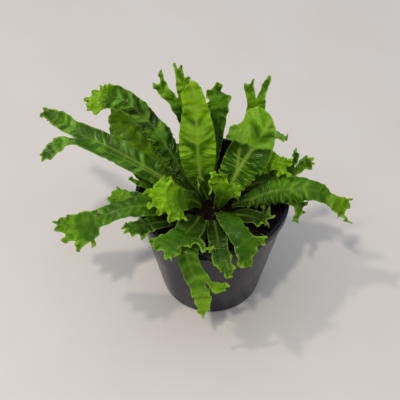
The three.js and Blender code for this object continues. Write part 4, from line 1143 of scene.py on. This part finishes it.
def earthMaterial(name, dark, light, grain, roughness):
    # matt crumbly organic stuff: dark, with paler fibres
    material, node = newMaterial(name)
    place = node("ShaderNodeTexCoord", out="Object")
    tone = node("ShaderNodeTexNoise", {}, {
        "Vector": place, "Scale": perMetre(grain), "Detail": 4.0, "Roughness": 0.65,
    }, 0)
    share = node("ShaderNodeMapRange", {}, (tone, 0.35, 0.75, 0.0, 1.0), 0)
    colour = node("ShaderNodeMix", colours, {0: share, 6: linearColour(dark), 7: linearColour(light)}, 2)
    bump = node("ShaderNodeBump", {}, {"Strength": 0.8, "Distance": 0.8 * mm, "Height": tone}, 0)
    surface = node("ShaderNodeBsdfPrincipled", {}, {
        "Base Color": colour, "Roughness": roughness, "Normal": bump, "Specular IOR Level": 0.12,
    }, 0)
    node("ShaderNodeOutputMaterial", {}, {"Surface": surface})
    return material


earthMaterials = {name: earthMaterial(name, *finish) for name, finish in earthFinishes.items()}


def scatterTree(name):
    # scatters small lumps over the piece's upper faces, with named sizes
    tree = bpy.data.node_groups.new(name, "GeometryNodeTree")
    node, newSocket = partial(addNode, tree), tree.interface.new_socket
    newSocket("Geometry", in_out="INPUT", socket_type="NodeSocketGeometry")
    sockets = {}
    kinds = {"Material": "Material", "Seed": "Int"}
    for key in ("Material", "Per Area", "Size", "Flatness", "Lean", "Seed"):
        kind = "NodeSocket" + kinds.get(key, "Float")
        sockets[key] = newSocket(key, in_out="INPUT", socket_type=kind).identifier
    newSocket("Geometry", in_out="OUTPUT", socket_type="NodeSocketGeometry")
    given = node("NodeGroupInput").outputs
    normal = node("GeometryNodeInputNormal", out=0)
    up = node("ShaderNodeSeparateXYZ", {}, (normal,), 2)
    facingUp = node("FunctionNodeCompare", {"operation": "GREATER_THAN"}, (up, 0.2), 0)
    spots = node("GeometryNodeDistributePointsOnFaces", {"distribute_method": "RANDOM"}, {
        "Mesh": given["Geometry"], "Selection": facingUp, "Density": given["Per Area"], "Seed": given["Seed"],
    }).outputs
    # an uneven lump of a few dozen faces
    lump = node("GeometryNodeMeshIcoSphere", {}, {"Radius": 0.5, "Subdivisions": 1}, 0)
    place = node("GeometryNodeInputPosition", out=0)
    rough = node("ShaderNodeTexNoise", {}, {"Vector": place, "Scale": 2.4}, 1)
    shift = node("ShaderNodeVectorMath", {"operation": "SUBTRACT"}, (rough, (0.5, 0.5, 0.5)), 0)
    shift = node("ShaderNodeVectorMath", vectorScale, {0: shift, "Scale": 0.8}, 0)
    lumpy = node("GeometryNodeSetPosition", {}, {"Geometry": lump, "Offset": shift}, 0)
    # each copy has its own size and turn: the smallest are about a third of the largest
    flat = node("ShaderNodeCombineXYZ", {}, (1.0, 0.8, given["Flatness"]), 0)
    size = node("FunctionNodeRandomValue", {"data_type": "FLOAT"}, {
        2: 0.35, 3: 1.0, "Seed": given["Seed"],
    }, 1)
    size = node("ShaderNodeMath", multiply, (size, given["Size"]), 0)
    scale = node("ShaderNodeVectorMath", vectorScale, {0: flat, "Scale": size}, 0)
    spin = node("FunctionNodeRandomValue", {"data_type": "FLOAT_VECTOR"}, {
        0: (-1.0, -1.0, -3.14), 1: (1.0, 1.0, 3.14), "Seed": given["Seed"],
    }, 0)
    lean = node("ShaderNodeCombineXYZ", {}, (given["Lean"], given["Lean"], 1.0), 0)
    spin = node("ShaderNodeVectorMath", multiply, (spin, lean), 0)
    turned = node("FunctionNodeRotateRotation", {"rotation_space": "LOCAL"}, (spots["Rotation"], spin), 0)
    copies = node("GeometryNodeInstanceOnPoints", {}, {
        "Points": spots["Points"], "Instance": lumpy, "Rotation": turned, "Scale": scale,
    }, 0)
    real = node("GeometryNodeRealizeInstances", {}, (copies,), 0)
    painted = node("GeometryNodeSetMaterial", {}, {"Geometry": real, "Material": given["Material"]}, 0)
    node("NodeGroupOutput", {}, (painted,))
    return tree, sockets


scatter, scatterSockets = scatterTree("scatterLumps")


def scattered(name, ground, radius):
    # lumps on a round ground of this radius in mm, as one plain mesh
    material, count, size, flatness, lean, seed = lumps[name]
    values = {
        "Material": earthMaterials[material], "Per Area": count / (math.pi * (radius * mm) ** 2),
        "Size": size * mm, "Flatness": flatness, "Lean": lean, "Seed": seed,
    }
    piece = bpy.data.objects.new(name, ground.data.copy())
    scene.collection.objects.link(piece)
    modifier = piece.modifiers.new("scatter", "NODES")
    modifier.node_group = scatter
    for key, value in values.items():
        modifier[scatterSockets[key]] = value
    applyModifiers(piece)
    smoothFaces(piece.data)
    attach(piece, "root")
    return piece


def hills(x, y, seed):
    # gentle lumps of a soil or crown surface, in mm
    draw = np.random.default_rng(seed)
    height = np.zeros_like(x)
    for every, rise in ((17, 0.9), (9, 0.55), (4.5, 0.35), (2.6, 0.2)):
        for _ in range(3):
            angle, start = draw.uniform(0, 2 * math.pi, 2)
            across = x * math.cos(angle) + y * math.sin(angle)
            height += rise / 2 * np.sin(2 * math.pi * across / every + start)
    return height


def makeSoil():
    # fills the pot up to a gently raised, lumpy top
    level, steps = soil["level"], soil["rings"]
    edge = wallRadius(level) - soil["clear"]
    rings = [edge * (1 - i / steps) for i in range(steps)]
    rings = [(r, level + 0.2 + math.sin((1 - r / edge) * math.pi / 2) * soil["rise"]) for r in rings]
    foot = wallRadius(soil["floor"]) - soil["clear"] - soil["corner"]
    profile = [(0, soil["floor"]), (foot, soil["floor"])]
    profile += [(edge - 0.2, level - 1), *rings, (0, level + soil["rise"])]
    piece = turnedMesh("soil_bed", profile, soil["sides"])
    points = pointsOf(piece.data)
    radius = np.hypot(points[:, 0], points[:, 1])
    raised = (points[:, 2] > level - 0.5) & (radius < edge - 0.5)
    rise = hills(points[:, 0], points[:, 1], soil["seed"]) * smoothstep(edge - radius, 0, 4)
    points[:, 2] += np.where(raised, rise, 0)
    movePoints(piece.data, points)
    piece.data.materials.append(earthMaterials["pottingMix"])
    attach(piece, "root")
    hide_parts("soil")
    for name in ("soil_crumbs", "soil_bark", "soil_grit"):
        scattered(name, piece, edge)


def makeCrown():
    # the rootstock: a short mound, closely covered with brown papery scales
    r, top, low = crown["radius"], crown["top"], crown["shoulder"] - 3
    profile = [(0, crown["bottom"]), (r, crown["bottom"]), (r, low)]
    angles = np.linspace(0.05, math.pi / 2, 22)[:-1]
    profile += [(r * math.cos(a), low + (top - low) * math.sin(a)) for a in angles]
    profile.append((0, top))
    piece = turnedMesh("crown_mound", profile, crown["sides"])
    points = pointsOf(piece.data)
    raised = points[:, 2] > crown["shoulder"] - 2
    points[:, 2] += np.where(raised, hills(points[:, 0], points[:, 1], crown["seed"]) - 0.6, 0)
    movePoints(piece.data, points)
    piece.data.materials.append(earthMaterials["rootstock"])
    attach(piece, "root")
    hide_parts("crown")
    for name in ("crown_bits", "crown_scales"):
        scattered(name, piece, r)


makeSoil()
makeCrown()
print("filled in the soil and the crown")


# Stage: a plain pale floor, two ceiling lamps to the left and behind the camera, and the camera

stage = {
    "floor": "#d7d2ca", "floorWarm": "#cfc7bb", "floorHalf": 5000, "cloudSize": 111.1,  # mm
    "sky": "#ebeffb", "skyAbove": 0.82, "skyLow": 0.24,
    "lampColour": "#fff7ee", "lampSize": 0.09,  # metres
    "lamps": {"key": ((-0.36, -0.66, 1.7), 9.5), "fill": ((-0.88, 0.0, 1.7), 7.0)},  # place in metres, power
    "lookAt": (0.0, 0.0, 0.1),
    "cameraPlace": (-0.0097, -0.373, 0.542), "pitch": 40.0, "lens": 66.6,
}


def makeFloor():
    # pale matt floor tile, with faint warmer clouds
    half = stage["floorHalf"]
    corners = [(-half, -half, 0), (half, -half, 0), (half, half, 0), (-half, half, 0)]
    floor = makeMesh("floor", corners, [(0, 1, 2, 3)], smooth=False)
    material, node = newMaterial("paleFloor")
    place = node("ShaderNodeTexCoord", out="Object")
    tone = node("ShaderNodeTexNoise", {}, {
        "Vector": place, "Scale": perMetre(stage["cloudSize"]), "Detail": 3.0,
    }, 0)
    share = node("ShaderNodeMapRange", {}, (tone, 0.35, 0.65, 0.0, 0.35), 0)
    pale, warm = linearColour(stage["floor"]), linearColour(stage["floorWarm"])
    colour = node("ShaderNodeMix", colours, {0: share, 6: pale, 7: warm}, 2)
    surface = node("ShaderNodeBsdfPrincipled", {}, {"Base Color": colour, "Roughness": 0.6}, 0)
    node("ShaderNodeOutputMaterial", {}, {"Surface": surface})
    floor.data.materials.append(material)


def makeLight():
    # two small lamps under a soft sky that is brighter above
    world = bpy.data.worlds.new("softSky")
    world.use_nodes = True
    world.node_tree.nodes.clear()
    node = partial(addNode, world.node_tree)
    upwards = node("ShaderNodeTexCoord", out="Generated")
    height = node("ShaderNodeSeparateXYZ", {}, (upwards,), 2)
    strength = node("ShaderNodeMapRange", {}, (height, 0.0, 0.8, stage["skyLow"], stage["skyAbove"]), 0)
    sky = linearColour(stage["sky"])
    background = node("ShaderNodeBackground", {}, {"Color": sky, "Strength": strength}, 0)
    node("ShaderNodeOutputWorld", {}, {"Surface": background})
    scene.world = world
    for name, (place, power) in stage["lamps"].items():
        light = bpy.data.lights.new(name, "AREA")
        light.energy, light.size = power, stage["lampSize"]
        light.color = linearColour(stage["lampColour"])[:3]
        lamp = bpy.data.objects.new(name, light)
        lamp.location = place
        towards = Vector(stage["lookAt"]) - Vector(place)
        lamp.rotation_euler = towards.to_track_quat("-Z", "Y").to_euler()
        scene.collection.objects.link(lamp)


def makeCamera():
    lens = bpy.data.cameras.new("camera")
    lens.lens, lens.sensor_width = stage["lens"], 36.0
    camera = bpy.data.objects.new("camera", lens)
    camera.location = stage["cameraPlace"]
    camera.rotation_euler = (math.radians(stage["pitch"]), 0.0, 0.0)
    scene.collection.objects.link(camera)
    scene.camera = camera
    scene.view_settings.view_transform = "Standard"


makeFloor()
makeLight()
makeCamera()
print("set the stage")
